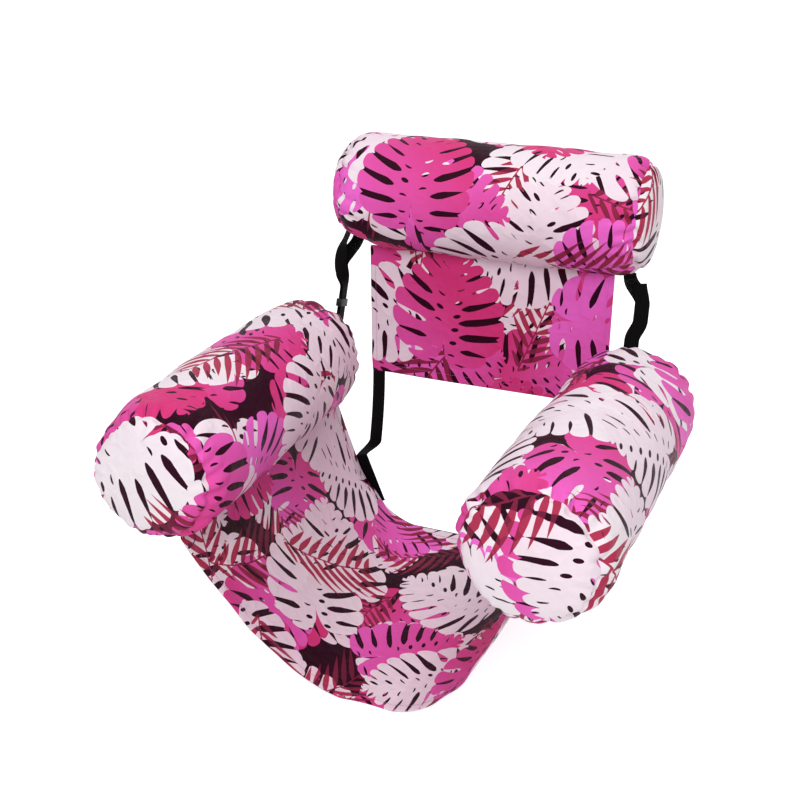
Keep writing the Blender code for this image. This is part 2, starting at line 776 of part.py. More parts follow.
def lower_strap_frames(side):
    """Middles and half widths of a lower strap, from the back panel down to the rear webbing."""
    across = side * LOWER_STRAP_SEAT_SHARE
    front = 1 - (WEBBING_WIDTH - WEBBING_OVERHANG) / seat_depth()
    rear = front + WEBBING_WIDTH / seat_depth()
    out = seat_normal(across, (front + rear) / 2)
    step = STEP_SHARE
    tangent = (seat_point(across + step, rear) - seat_point(across - step, rear)).normalized() * side
    lift = CLOTH / 2 + GAP + WEBBING + GAP + WEBBING / 2
    seat_front_end = seat_point(across, front) + out * lift
    seat_rear_end = seat_point(across, rear) + out * lift
    top_x = side * (PANEL_WIDTH / 2 - WEBBING_WIDTH / 2 - LOWER_STRAP_EDGE)
    back_y = HEADREST_Y - PANEL_FORWARD + CLOTH / 2 + 2 * GAP + WEBBING / 2
    bottom = panel_seam_height() - SEW_GAP - PANEL_HEIGHT
    sideways = Vector((side, 0.0, 0.0))
    hang = Vector((top_x, back_y, bottom - LOWER_STRAP_DROP))
    frames = [
        (Vector((top_x, back_y, bottom + LOWER_STRAP_OVERLAP)), sideways),
        (Vector((top_x, back_y, bottom)), sideways),
        (hang, sideways),
    ]
    leave = seat_rear_end + Vector((0.0, LOWER_STRAP_BEND, 0.0))
    for index in range(1, LOWER_STRAP_STEPS + 1):
        share = index / LOWER_STRAP_STEPS
        low = hang + Vector((0.0, 0.0, -LOWER_STRAP_BEND))
        middle = bezier(hang, low, leave, seat_rear_end, share)
        frames.append((middle, sideways.lerp(tangent, smooth(share)).normalized()))
    frames.append((seat_front_end, tangent))
    return frames


def bezier(start, start_handle, end_handle, end, share):
    """Point of a cubic curve."""
    rest = 1 - share
    return (start * rest ** 3 + start_handle * 3 * rest ** 2 * share
            + end_handle * 3 * rest * share ** 2 + end * share ** 3)


def make_lower_strap(side, carrier):
    """Slack strap between the back panel and the seat's rear webbing."""
    name = SIDE_NAMES[side] + "_lower_strap"
    rows = ([], [])
    for middle, direction in lower_strap_frames(side):
        half = direction * WEBBING_WIDTH / 2
        rows[0].append(middle - half)
        rows[1].append(middle + half)
    item = add_object(name, grid_mesh(name, rows), "black_webbing", Matrix(), carrier)
    thicken(item, WEBBING, 0.0)


# Whole lounger

def make_armrest(side):
    """One armrest tube, carried by the line on which it folds."""
    name = SIDE_NAMES[side] + "_armrest"
    hinge = frame_matrix(hinge_point(side, 0.0), arm_seam_direction(side), arm_axis(side))
    carrier = add_hinge(name + "_fold", hinge)
    place = frame_matrix(arm_middle(side), arm_seam_direction(side), arm_axis(side))
    make_tube(name, ARM_RADIUS, ARM_LENGTH, ("rear", "front"), place, carrier)


def make_backrest():
    """Headrest tube, back panel and straps, carried by the line between the rear corners."""
    axis_point = pivot(RIGHT)
    axis_point.x = 0.0
    carrier = add_hinge("backrest_recline", Matrix.Translation(axis_point))
    middle = Vector((0.0, HEADREST_Y, HEADREST_Z))
    place = frame_matrix(middle, headrest_seam_direction(), Vector((LEFT, 0.0, 0.0)))
    make_tube("headrest", HEADREST_RADIUS, HEADREST_LENGTH, ("left", "right"), place, carrier)
    make_back_panel(carrier)
    for side in (LEFT, RIGHT):
        make_upper_straps(side, carrier)
        make_lower_strap(side, carrier)


clear_scene()
PARTS = make_collection("pool_lounger")
MATERIALS = {name: make_material(name) for name in COLORS}
make_seat_cloth()
make_front_hem()
make_rear_webbing()
make_armrest(LEFT)
make_armrest(RIGHT)
make_backrest()
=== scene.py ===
"""Looks of the pool lounger: printed cloth over air tubes, a slung cloth seat and black webbing.

Every size is in metres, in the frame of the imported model: +Z up, the front towards -Y. The cloth pieces
are cut as flat or round meshes, shaped by a short cloth simulation, and dressed with a printed leaf
pattern that is drawn by shader nodes on their cloth coordinates.
"""
import logging
import math
from dataclasses import dataclass
from enum import Enum
from typing import Callable, Optional, Sequence, Union

import bmesh
import bpy
import numpy as np
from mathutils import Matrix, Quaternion, Vector


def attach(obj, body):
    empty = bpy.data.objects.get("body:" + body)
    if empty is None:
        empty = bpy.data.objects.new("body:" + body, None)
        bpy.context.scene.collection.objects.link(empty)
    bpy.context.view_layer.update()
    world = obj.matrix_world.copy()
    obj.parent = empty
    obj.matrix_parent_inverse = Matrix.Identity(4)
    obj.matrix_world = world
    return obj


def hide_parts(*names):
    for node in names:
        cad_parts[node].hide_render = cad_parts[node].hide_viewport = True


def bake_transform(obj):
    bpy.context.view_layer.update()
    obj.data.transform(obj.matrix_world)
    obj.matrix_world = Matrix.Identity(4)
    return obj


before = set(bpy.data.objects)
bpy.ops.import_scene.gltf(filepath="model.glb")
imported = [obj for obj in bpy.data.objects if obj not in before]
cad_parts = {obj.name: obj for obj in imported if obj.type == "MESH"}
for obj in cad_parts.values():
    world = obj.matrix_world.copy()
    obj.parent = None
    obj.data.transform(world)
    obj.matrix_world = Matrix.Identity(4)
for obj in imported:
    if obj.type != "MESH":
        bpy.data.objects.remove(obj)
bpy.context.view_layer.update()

log = logging.getLogger("pool_lounger")

Socket = bpy.types.NodeSocket
Value = Union["Term", Socket, float]
Colour = tuple[float, float, float, float]
CLOTH_MAP = "cloth_metres"

CLOTH_THICKNESS = 0.0008
WEBBING_THICKNESS = 0.0014
WEBBING_WIDTH = 0.025


class Side(Enum):
    """Side of the lounger, seen from its front."""

    LEFT = -1
    RIGHT = 1

    @property
    def word(self) -> str:
        """Name of the side as the model's nodes write it."""
        return self.name.lower()


class Body(Enum):
    """Moving bodies that the pieces ride on."""

    SEAT = "seat"
    BACKREST = "backrest"
    LEFT_ARMREST = "left_armrest"
    RIGHT_ARMREST = "right_armrest"


class Slot(Enum):
    """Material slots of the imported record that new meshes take."""

    CLOTH = "printed_cloth"
    WEBBING = "black_webbing"
    BLADDER = "bladder_vinyl"


# Small sums


def ease(share: np.ndarray) -> np.ndarray:
    """Ease from 0 to 1 with level ends.

    Args:
        share: Place between the ends; values outside 0 to 1 are held at them.

    Returns:
        The eased place.
    """
    held = np.clip(share, 0.0, 1.0)
    return held * held * (3.0 - 2.0 * held)


def unit(vectors: np.ndarray) -> np.ndarray:
    """Vectors made one long along their last axis."""
    length = np.linalg.norm(vectors, axis=-1, keepdims=True)
    return vectors / np.maximum(length, 1e-12)


def line_lengths(points: np.ndarray) -> np.ndarray:
    """Length along a line of points, from its start to each point."""
    steps = np.linalg.norm(np.diff(points, axis=0), axis=1)
    return np.concatenate([[0.0], np.cumsum(steps)])


def read_at(places: np.ndarray, along: np.ndarray, rows: np.ndarray) -> np.ndarray:
    """Rows of numbers read at places along a line.

    Args:
        places: Where they are wanted.
        along: Place of each known row.
        rows: The known rows.

    Returns:
        One row for each place.
    """
    return np.stack([np.interp(places, along, column) for column in rows.T], axis=1)


def grid_line(grid: np.ndarray, row: float) -> np.ndarray:
    """Points of a grid between two of its rows."""
    low = int(row)
    return grid[low] * (low + 1 - row) + grid[low + 1] * (row - low)


def surface_normals(grid: np.ndarray, around: bool) -> np.ndarray:
    """Directions square to a grid of points.

    Args:
        grid: Points in rows and columns.
        around: True where the last column joins the first.

    Returns:
        One direction for each point, along column direction cross row direction.
    """
    if around:
        across = np.roll(grid, -1, axis=1) - np.roll(grid, 1, axis=1)
    else:
        across = np.gradient(grid, axis=1)
    return unit(np.cross(across, np.gradient(grid, axis=0)))


def under_normals(grid: np.ndarray) -> np.ndarray:
    """Directions square to a grid of points, out of its underside."""
    normals = surface_normals(grid, False)
    return normals * np.where(normals[..., 2:] > 0, -1.0, 1.0)


def ripple(places: np.ndarray, seed: int, waves: Sequence[int], whole_turn: float) -> np.ndarray:
    """Smooth uneven ripple made of a few waves with seeded heights and phases.

    Args:
        places: Where the ripple is wanted.
        seed: Seed of its heights and phases.
        waves: Wave counts in a whole turn.
        whole_turn: Length after which the ripple repeats.

    Returns:
        Heights of about -1 to 1.
    """
    source = np.random.default_rng(seed)
    total = np.zeros_like(places)
    for count in waves:
        height = source.uniform(0.5, 1.0)
        phase = source.uniform(0.0, 2 * math.pi)
        total += height * np.sin(2 * math.pi * count * places / whole_turn + phase)
    return total / len(waves)


def pressed(grid: np.ndarray, cloth: np.ndarray, lines: Sequence[tuple[int, float, float]],
            spread: float = 0.022) -> np.ndarray:
    """Cloth with the sharp low ridges that folding for its packet has left.

    Args:
        grid: Points of the cloth.
        cloth: Cloth coordinates of the points.
        lines: Cloth axis, place on it and height of each ridge.
        spread: Distance from a ridge's top to its foot.

    Returns:
        The points with the ridges, square to the cloth.
    """
    normals = surface_normals(grid, False)
    for axis, place, height in lines:
        away = np.abs(cloth[..., axis] - place)
        grid = grid + normals * (height * np.maximum(1 - away / spread, 0.0) ** 1.5)[..., None]
    return grid


# Meshes and simulation


def grid_mesh(name: str, grid: np.ndarray, cloth: np.ndarray, around: bool = False) -> bpy.types.Mesh:
    """Quad mesh from a grid of points, with cloth coordinates in metres.

    Args:
        name: Name of the mesh.
        grid: Points in rows and columns.
        cloth: Cloth coordinates of the points, with one more column where the grid goes around.
        around: True where the last column joins the first.

    Returns:
        The new mesh, shaded smooth.
    """
    rows, columns = grid.shape[:2]
    spans = columns if around else columns - 1
    row, column = np.meshgrid(np.arange(rows - 1), np.arange(spans), indexing="ij")
    following = (column + 1) % columns
    corners = [(row, column, column), (row, following, column + 1),
               (row + 1, following, column + 1), (row + 1, column, column)]
    faces = np.stack([r * columns + c for r, c, _ in corners], axis=-1).reshape(-1, 4)
    places = np.stack([cloth[r, mapped] for r, _, mapped in corners], axis=-2).reshape(-1, 2)
    mesh = bpy.data.meshes.new(name)
    mesh.from_pydata(grid.reshape(-1, 3).tolist(), [], faces.tolist())
    layer = mesh.uv_layers.new(name=CLOTH_MAP)
    layer.uv.foreach_set("vector", places.astype(np.float32).ravel())
    mesh.shade_smooth()
    return mesh


def add_piece(name: str, mesh: bpy.types.Mesh, materials: Sequence[bpy.types.Material]) -> bpy.types.Object:
    """Put a mesh in the scene with its materials."""
    for material in materials:
        mesh.materials.append(material)
    piece = bpy.data.objects.new(name, mesh)
    bpy.context.scene.collection.objects.link(piece)
    return piece


def add_modifier(piece: bpy.types.Object, kind: str, **settings: object) -> bpy.types.Modifier:
    """Give a piece a modifier.

    Args:
        piece: Piece that takes it.
        kind: Kind of modifier, which names it too.
        **settings: Values of its own settings.

    Returns:
        The modifier.
    """
    modifier = piece.modifiers.new(kind.lower(), kind)
    for name, value in settings.items():
        setattr(modifier, name, value)
    return modifier


def subdivide(piece: bpy.types.Object) -> None:
    """Smooth a piece with subdivision."""
    add_modifier(piece, "SUBSURF", levels=1, render_levels=1)


def report(piece: bpy.types.Object) -> None:
    """Say that a piece is made."""
    log.info("%s: %d faces before modifiers", piece.name, len(piece.data.polygons))


def stand_in(piece: bpy.types.Object, node: str, body: Body) -> None:
    """Let a piece stand for a CAD node.

    Args:
        piece: The piece.
        node: Name of the node.
        body: Body that carries it.
    """
    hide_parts(node)
    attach(piece, body.value)
    report(piece)


def add_sheet(node: str, grid: np.ndarray, cloth: np.ndarray, materials: Sequence[bpy.types.Material],
              body: Body) -> bpy.types.Object:
    """Make a sheet of cloth that stands for a CAD node.

    Args:
        node: Name of the CAD node.
        grid: Points of the cloth's middle.
        cloth: Cloth coordinates of the points.
        materials: Materials of its two sides.
        body: Body that carries it.

    Returns:
        The sheet, with its thickness.
    """
    name = f"{node}_cloth"
    piece = add_piece(name, grid_mesh(name, grid, cloth), materials)
    subdivide(piece)
    add_modifier(piece, "SOLIDIFY", thickness=CLOTH_THICKNESS, offset=0.0, material_offset=1,
                 use_even_offset=True)
    stand_in(piece, node, body)
    return piece


@dataclass
class ClothJob:
    """One piece of cloth for the simulation.

    Args:
        name: Name of the piece.
        start: Grid of points that it starts from.
        cut: Grid of points that has the lengths of the flat cut.
        pins: Grid of weights, 1 where the cloth is sewn fast.
        reach: Furthest that each point may move.
        around: True where the last column joins the first.
        pressure: Air pressure that holds it out.
        gravity: Share of gravity that it feels.
    """

    name: str
    start: np.ndarray
    cut: np.ndarray
    pins: np.ndarray
    reach: np.ndarray
    around: bool = False
    pressure: float = 0.0
    gravity: float = 0.0
    POLYESTER = {"quality": 4, "mass": 0.12, "tension_stiffness": 25.0, "compression_stiffness": 12.0,
                 "shear_stiffness": 6.0, "bending_stiffness": 0.25, "tension_damping": 8.0,
                 "compression_damping": 8.0, "air_damping": 2.0, "pin_stiffness": 1.0}

    def stage(self) -> bpy.types.Object:
        """Object with its cloth modifier, ready to run."""
        blank = np.zeros((self.start.shape[0], self.start.shape[1] + 1, 2))
        piece = add_piece(self.name, grid_mesh(self.name, self.start, blank, self.around), [])
        piece.shape_key_add(name="start")
        cut = piece.shape_key_add(name="cut")
        cut.data.foreach_set("co", self.cut.astype(np.float32).ravel())
        group = piece.vertex_groups.new(name="sewn")
        weights = self.pins.ravel()
        for index in np.flatnonzero(weights > 0):
            group.add([int(index)], float(weights[index]), "REPLACE")
        modifier = add_modifier(piece, "CLOTH")
        settings = modifier.settings
        for label, value in self.POLYESTER.items():
            setattr(settings, label, value)
        settings.vertex_group_mass = "sewn"
        settings.rest_shape_key = cut
        settings.use_pressure = self.pressure > 0
        settings.uniform_pressure_force = self.pressure
        settings.effector_weights.gravity = self.gravity
        modifier.collision_settings.use_collision = False
        modifier.point_cache.frame_start = 1
        modifier.point_cache.frame_end = ClothRoom.FRAMES
        return piece

    def settled(self, piece: bpy.types.Object) -> np.ndarray:
        """Points after the run, each held within its reach.

        Args:
            piece: The simulated object.

        Returns:
            Grid of points.
        """
        graph = bpy.context.evaluated_depsgraph_get()
        shaped = piece.evaluated_get(graph)
        points = np.empty(self.start.size, np.float32)
        shaped.data.vertices.foreach_get("co", points)
        moved = points.reshape(self.start.shape).astype(float) - self.start
        length = np.linalg.norm(moved, axis=-1, keepdims=True)
        reach = self.reach[..., None]
        held = reach * np.tanh(length / reach)
        return self.start + moved * held / np.maximum(length, 1e-9)


class ClothRoom:
    """Runs the simulation of all cloth pieces together."""

    FRAMES = 18

    def __init__(self) -> None:
        """Start with no jobs."""
        self.jobs: list[ClothJob] = []

    def add(self, job: ClothJob) -> None:
        """Take a job for the next run."""
        self.jobs.append(job)

    def run(self) -> dict[str, np.ndarray]:
        """Simulate every job.

        Returns:
            The settled grid of each job by name.
        """
        scene = bpy.context.scene
        pieces = [job.stage() for job in self.jobs]
        for number in range(1, self.FRAMES + 1):
            scene.frame_set(number)
        settled = {job.name: job.settled(piece) for job, piece in zip(self.jobs, pieces)}
        for piece in pieces:
            mesh = piece.data
            bpy.data.objects.remove(piece)
            bpy.data.meshes.remove(mesh)
        scene.frame_set(1)
        log.info("cloth simulation: %d pieces, %d frames", len(self.jobs), self.FRAMES)
        return settled


# Shader graphs


def formula(operation: str) -> Callable[..., "Term"]:
    """Method that puts a sum on a term, and on other values, in the term's graph."""
    return lambda term, *others: term.graph.number(operation, term, *others)


class Term:
    """Number in a node tree, on which sums are written as plain formulas."""

    __abs__ = formula("ABSOLUTE")
    __add__ = formula("ADD")
    __sub__ = formula("SUBTRACT")
    __mul__ = formula("MULTIPLY")
    __truediv__ = formula("DIVIDE")
    __pow__ = formula("POWER")
    __lt__ = formula("LESS_THAN")
    __gt__ = formula("GREATER_THAN")
    floor = formula("FLOOR")
    fraction = formula("FRACT")
    root = formula("SQRT")
    sine = formula("SINE")
    times_plus = formula("MULTIPLY_ADD")

    def __init__(self, graph: "Graph", socket: Socket) -> None:
        """Hold a socket and the graph that it belongs to."""
        self.graph = graph
        self.socket = socket

    def __rsub__(self, other: float) -> "Term":
        """Another number less this one."""
        return self.graph.number("SUBTRACT", other, self)

    def __rtruediv__(self, other: float) -> "Term":
        """Another number divided by this one."""
        return self.graph.number("DIVIDE", other, self)

    def held(self) -> "Term":
        """The same number, held between 0 and 1."""
        self.socket.node.use_clamp = True
        return self


class Graph:
    """Short ways to add and join the nodes of one tree."""

    def __init__(self, tree: bpy.types.NodeTree) -> None:
        """Work on a tree.

        Args:
            tree: Shader tree of a material or a group.
        """
        self.tree = tree

    def add(self, kind: str, **settings: object) -> bpy.types.Node:
        """New node with some of its own settings."""
        node = self.tree.nodes.new(kind)
        for name, value in settings.items():
            setattr(node, name, value)
        return node

    def feed(self, socket: Socket, value: Union[Value, Colour, tuple]) -> None:
        """Join a socket to another one, or set its value."""
        value = value.socket if isinstance(value, Term) else value
        if isinstance(value, bpy.types.NodeSocket):
            self.tree.links.new(value, socket)
        else:
            socket.default_value = value

    def fill(self, inputs: bpy.types.NodeInputs, **values: object) -> None:
        """Feed inputs by their names, with underscores for spaces."""
        for label, value in values.items():
            self.feed(inputs[label.replace("_", " ")], value)

    def number(self, operation: str, *values: Value) -> Term:
        """Result of a sum on numbers."""
        node = self.add("ShaderNodeMath", operation=operation)
        for socket, value in zip(node.inputs, values):
            self.feed(socket, value)
        return Term(self, node.outputs[0])

    def vector(self, operation: str, *values: Union[Value, tuple], scale: Optional[Value] = None) -> Socket:
        """Result of a sum on vectors."""
        node = self.add("ShaderNodeVectorMath", operation=operation)
        for socket, value in zip(node.inputs, values):
            self.feed(socket, value)
        if scale is not None:
            self.feed(node.inputs["Scale"], scale)
        return node.outputs[0]

    def turned(self, vector: Socket, angle: Value) -> Socket:
        """Vector turned about Z."""
        node = self.add("ShaderNodeVectorRotate", rotation_type="Z_AXIS")
        self.fill(node.inputs, Vector=vector, Angle=angle)
        return node.outputs[0]

    def joined(self, x: Value, y: Value, z: Value = 0.0) -> Socket:
        """Vector from three numbers."""
        node = self.add("ShaderNodeCombineXYZ")
        for socket, value in zip(node.inputs, (x, y, z)):
            self.feed(socket, value)
        return node.outputs[0]

    def parted(self, vector: Socket) -> list[Term]:
        """Three numbers of a vector."""
        node = self.add("ShaderNodeSeparateXYZ")
        self.feed(node.inputs[0], vector)
        return [Term(self, socket) for socket in node.outputs]

    def chance(self, vector: Socket) -> bpy.types.Node:
        """White noise node at a vector."""
        node = self.add("ShaderNodeTexWhiteNoise", noise_dimensions="3D")
        self.feed(node.inputs["Vector"], vector)
        return node

    def noise(self, vector: Socket, scale: float, detail: float = 2.0) -> Term:
        """Soft noise from 0 to 1."""
        node = self.add("ShaderNodeTexNoise", noise_dimensions="3D")
        self.fill(node.inputs, Vector=vector, Scale=scale, Detail=detail)
        return Term(self, node.outputs["Fac"])

    def mixed(self, share: Value, under: Union[Value, Colour], over: Union[Value, Colour]) -> Socket:
        """Colour between two others."""
        node = self.add("ShaderNodeMix", data_type="RGBA")
        self.feed(node.inputs["Factor"], share)
        self.feed(node.inputs[6], under)
        self.feed(node.inputs[7], over)
        return node.outputs[2]

    def seen(self) -> Term:
        """1 for rays that the camera sees directly, in a gloss or through glass, and 0 for light's own."""
        rays = self.add("ShaderNodeLightPath").outputs
        return self.number("MAXIMUM", rays["Is Camera Ray"], self.number(
            "MAXIMUM", rays["Is Glossy Ray"], rays["Is Transmission Ray"]))

    def waves(self, vector: Socket, length: Socket) -> list[Term]:
        """Angles that make a whole turn over a length of cloth, along its two axes."""
        turns = self.vector("SCALE", vector, scale=2 * math.pi / Term(self, length))
        return self.parted(turns)[:2]

    def curve(self, value: Term, points: Sequence[tuple[float, float]]) -> Term:
        """Number read from a drawn curve."""
        node = self.add("ShaderNodeFloatCurve")
        line = node.mapping.curves[0]
        for index, (x, y) in enumerate(points):
            if index < 2:
                line.points[index].location = (x, y)
            else:
                line.points.new(x, y)
        node.mapping.update()
        self.feed(node.inputs["Value"], value)
        return Term(self, node.outputs[0])


def group_of(name: str, inputs: Sequence[tuple[str, str]], outputs: Sequence[tuple[str, str]]) -> tuple:
    """New node group with named sockets.

    Args:
        name: Name of the group.
        inputs: Name and kind of each input, kind being Float, Vector or Color.
        outputs: The same for the outputs.

    Returns:
        The tree, a graph on it, its input node and its output node.
    """
    tree = bpy.data.node_groups.new(name, "ShaderNodeTree")
    for way, sockets in (("INPUT", inputs), ("OUTPUT", outputs)):
        for label, kind in sockets:
            tree.interface.new_socket(label, in_out=way, socket_type="NodeSocket" + kind)
    graph = Graph(tree)
    return tree, graph, graph.add("NodeGroupInput").outputs, graph.add("NodeGroupOutput").inputs


def scatter_group() -> bpy.types.NodeTree:
    """Group that scatters one motif in each square of a turned, shifted lattice.

    Returns:
        Group with the place inside the motif, from -1 to 1, and the motif's chances.
    """
    tree, graph, given, put = group_of(
        "motif scatter",
        [("Surface", "Vector"), ("Spacing", "Float"), ("Turn", "Float"), ("Seed", "Float")],
        [("Place", "Vector"), ("Chances", "Vector"), ("Draw", "Float")])
    seed = Term(graph, given["Seed"])
    turned = graph.turned(given["Surface"], given["Turn"])
    scaled = graph.vector("SCALE", turned, scale=1.0 / Term(graph, given["Spacing"]))
    x, y, _ = graph.parted(graph.vector("ADD", scaled, graph.joined(seed * 3.71, seed * 5.37)))
    lattice = graph.joined(y.floor().times_plus(0.37, x), y)
    key = graph.vector("ADD", graph.vector("FLOOR", lattice), graph.joined(0.0, 0.0, seed))
    chances = graph.chance(key)
    inside = graph.vector("SUBTRACT", graph.vector("FRACTION", lattice), (0.5, 0.5, 0.0))
    first, second, third = graph.parted(chances.outputs["Color"])
    slip = graph.joined(first.times_plus(0.14, -0.07), second.times_plus(0.14, -0.07))
    local = graph.turned(graph.vector("SUBTRACT", inside, slip), third * (2 * math.pi))
    place = graph.vector("SCALE", local, scale=1.0 / second.times_plus(0.06, 0.375))
    graph.feed(put["Place"], place)
    graph.feed(put["Chances"], chances.outputs["Color"])
    graph.feed(put["Draw"], chances.outputs["Value"])
    return tree


LEAVES = "split leaf layer"
FRONDS = "palm frond layer"
LAYER_INPUTS = [("Surface", "Vector"), ("Under", "Color"), ("Spacing", "Float"), ("Turn", "Float"),
                ("Seed", "Float"), ("Share", "Float"), ("Colour", "Color"), ("Other Colour", "Color")]


def place_scatter(graph: Graph, given: bpy.types.NodeInputs,
                  scatter: bpy.types.NodeTree) -> bpy.types.NodeOutputs:
    """Add the scatter group to a layer's graph and join its inputs."""
    node = graph.add("ShaderNodeGroup", node_tree=scatter)
    for label in ("Surface", "Spacing", "Turn", "Seed"):
        graph.feed(node.inputs[label], given[label])
    return node.outputs


def split_leaf_group(scatter: bpy.types.NodeTree) -> bpy.types.NodeTree:
    """Group that prints a layer of broad heart-shaped leaves with slits and holes.

    Args:
        scatter: Group that places the leaves.

    Returns:
        Group from the colour under the layer to the colour with it.
    """
    tree, graph, given, put = group_of(
        LEAVES, LAYER_INPUTS + [("Gap Colour", "Color")], [("Colour", "Color")])
    motif = place_scatter(graph, given, scatter)
    x, y, _ = graph.parted(motif["Place"])
    first, second, third = graph.parted(motif["Chances"])
    across = abs(x)
    side = x > 0.0
    up = y + 0.52
    reach = (across ** 2.0 + abs(up) ** 2.0).root()
    bearing = graph.number("ARCTAN2", across, up) / math.pi
    outline = graph.curve(bearing, [
        (0.0, 1.0), (1.0, 0.02), (0.05, 0.95), (0.14, 0.87), (0.28, 0.75), (0.44, 0.63), (0.60, 0.54),
        (0.75, 0.46), (0.88, 0.38), (0.95, 0.24)]) * 1.5
    fan = y * across.times_plus(-0.45, 1.0) - across * 0.35
    vein = fan.times_plus(4.6, first) + side * 0.45
    off = abs(vein.fraction() - 0.5)
    nick = off.times_plus(-2.0, 1.0) ** 3.0
    edge = outline * nick.times_plus(-0.10, 1.0)
    key = graph.joined(vein.floor(), first * 91.0, side.times_plus(7.0, third))
    slit_first, slit_second, slit_third = graph.parted(graph.chance(key).outputs["Color"])
    entry = ((across - slit_first.times_plus(0.20, 0.18)) * 8.0).held()
    outer = ((reach / edge - 0.55) * 2.2).held()
    taper = outer.times_plus(slit_third.times_plus(0.80, -1.10), 1.0)
    slit = off < slit_second.times_plus(0.08, 0.17) * taper * entry.root()
    inside_hole = ((0.5 - off) / 0.15) ** 2.0 + abs((across - 0.15) / 0.06) ** 2.0 < 1.0
    gap = graph.number("MAXIMUM", slit, inside_hole * (slit_second > 0.45))
    through = graph.mixed(slit_first > 0.72, given["Gap Colour"], given["Under"])
    wash = (y.times_plus(0.30, second) + x * 0.25).held()
    blade = graph.mixed(wash, given["Colour"], given["Other Colour"])
    printed = graph.mixed(gap, blade, through)
    mask = (reach < edge) * (Term(graph, motif["Draw"]) < given["Share"])
    graph.feed(put["Colour"], graph.mixed(mask, given["Under"], printed))
    return tree


def frond_group(scatter: bpy.types.NodeTree) -> bpy.types.NodeTree:
    """Group that prints a layer of feathered palm fronds, dark over dark and bright over pale.

    Args:
        scatter: Group that places the fronds.

    Returns:
        Group from the colour under the layer to the colour with it.
    """
    tree, graph, given, put = group_of(FRONDS, LAYER_INPUTS, [("Colour", "Color")])
    motif = place_scatter(graph, given, scatter)
    x, y, _ = graph.parted(motif["Place"])
    first, second, _ = graph.parted(motif["Chances"])
    bent = x - first.times_plus(0.6, -0.3) * (y * y - 0.4)
    across = abs(bent)
    side = bent > 0.0
    rib = y - across * across.times_plus(0.35, 0.72)
    count = rib.times_plus(4.6, first) + side * 0.5
    off = abs(count.fraction() - 0.5)
    key = graph.joined(count.floor(), second * 53.0, side)
    leaflet_first, leaflet_second, _ = graph.parted(graph.chance(key).outputs["Color"])
    long = (1.0 - rib * rib).held().root() * leaflet_first.times_plus(0.26, 0.52)
    along = across / graph.number("MAXIMUM", long, 0.001)
    leaflet = off < graph.curve(along, [(0.0, 0.10), (1.0, 0.0), (0.18, 0.26), (0.40, 0.33), (0.70, 0.22)])
    stalk = (across < 0.014) * (abs(y) < 0.96)
    shape = graph.number("MAXIMUM", leaflet, stalk)
    mask = shape * (Term(graph, motif["Draw"]) < given["Share"])
    grey = graph.add("ShaderNodeRGBToBW")
    graph.feed(grey.inputs[0], given["Under"])
    over_pale = (Term(graph, grey.outputs[0]) * 1.6 + leaflet_second.times_plus(0.35, -0.12)).held()
    blade = graph.mixed(over_pale, given["Colour"], given["Other Colour"])
    graph.feed(put["Colour"], graph.mixed(mask, given["Under"], blade))
    return tree


def weave_group() -> bpy.types.NodeTree:
    """Group for the fine plain weave of thin polyester cloth and its small creases.

    Returns:
        Group from cloth coordinates to a height and a crease mask.
    """
    tree, graph, given, put = group_of(
        "cloth weave", [("Surface", "Vector"), ("Thread", "Float"), ("Crease", "Float")],
        [("Height", "Float"), ("Creases", "Float")])
    x, y = graph.waves(given["Surface"], given["Thread"])
    soft = graph.noise(given["Surface"], 38.0, 3.0)
    sharp = abs(graph.noise(given["Surface"], 21.0, 2.0) - 0.5)
    creases = (1.0 - sharp * 9.0).held()
    folded = creases.times_plus(0.5, soft) * given["Crease"]
    graph.feed(put["Height"], (x.sine() * y.sine()).times_plus(0.05, folded))
    graph.feed(put["Creases"], creases)
    return tree


def webbing_group() -> bpy.types.NodeTree:
    """Group for woven webbing: ribs across the tape with a slight slant and finer warp threads.

    Returns:
        Group from cloth coordinates to a height and a thread mask, which the webbing also uses for painted
        shade between the threads.
    """
    tree, graph, given, put = group_of(
        "webbing weave", [("Surface", "Vector"), ("Rib", "Float")],
        [("Height", "Float"), ("Threads", "Float")])
    x, y = graph.waves(given["Surface"], given["Rib"])
    slant = y + (x * 0.5).sine() * 1.4
    warp = (x * 1.5).sine().times_plus(0.5, 0.5)
    threads = slant.sine().times_plus(0.5, 0.5) * warp.times_plus(0.5, 0.5)
    graph.feed(put["Height"], threads)
    graph.feed(put["Threads"], threads)
    return tree


def handling_group() -> bpy.types.NodeTree:
    """Group for the uneven gloss and tone that handling leaves on moulded pieces.

    Returns:
        Group from a place to a tone mask and a fine height.
    """
    tree, graph, given, put = group_of(
        "handling", [("Place", "Vector"), ("Grain", "Float")], [("Tone", "Float"), ("Height", "Float")])
    graph.feed(put["Tone"], graph.noise(given["Place"], 90.0, 3.0))
    scaled = graph.vector("SCALE", given["Place"], scale=1.0 / Term(graph, given["Grain"]))
    graph.feed(put["Height"], graph.noise(scaled, 1.0, 2.0))
    return tree


@dataclass(frozen=True)
class PrintLayer:
    """One screen of the leaf print.

    Args:
        group: Name of the node group that draws it.
        spacing: Distance between its motifs.
        turn: Angle of its lattice in degrees.
        seed: Seed of its chances.
        share: Share of its squares that hold a motif.
        colour: Its colour, or over a dark ground for fronds.
        other: The colour it varies to, or over a pale ground for fronds.
    """

    group: str
    spacing: float
    turn: float
    seed: float
    share: float
    colour: Colour
    other: Colour


INK = (0.024, 0.001, 0.009, 1.0)
HOT_PINK = (0.84, 0.140, 0.60, 1.0)
ROSE_PINK = (0.67, 0.040, 0.20, 1.0)
PALE = (0.86, 0.70, 0.79, 1.0)
WHITE = (0.88, 0.79, 0.84, 1.0)
MAROON = (0.150, 0.012, 0.042, 1.0)
CRIMSON = (0.42, 0.035, 0.085, 1.0)

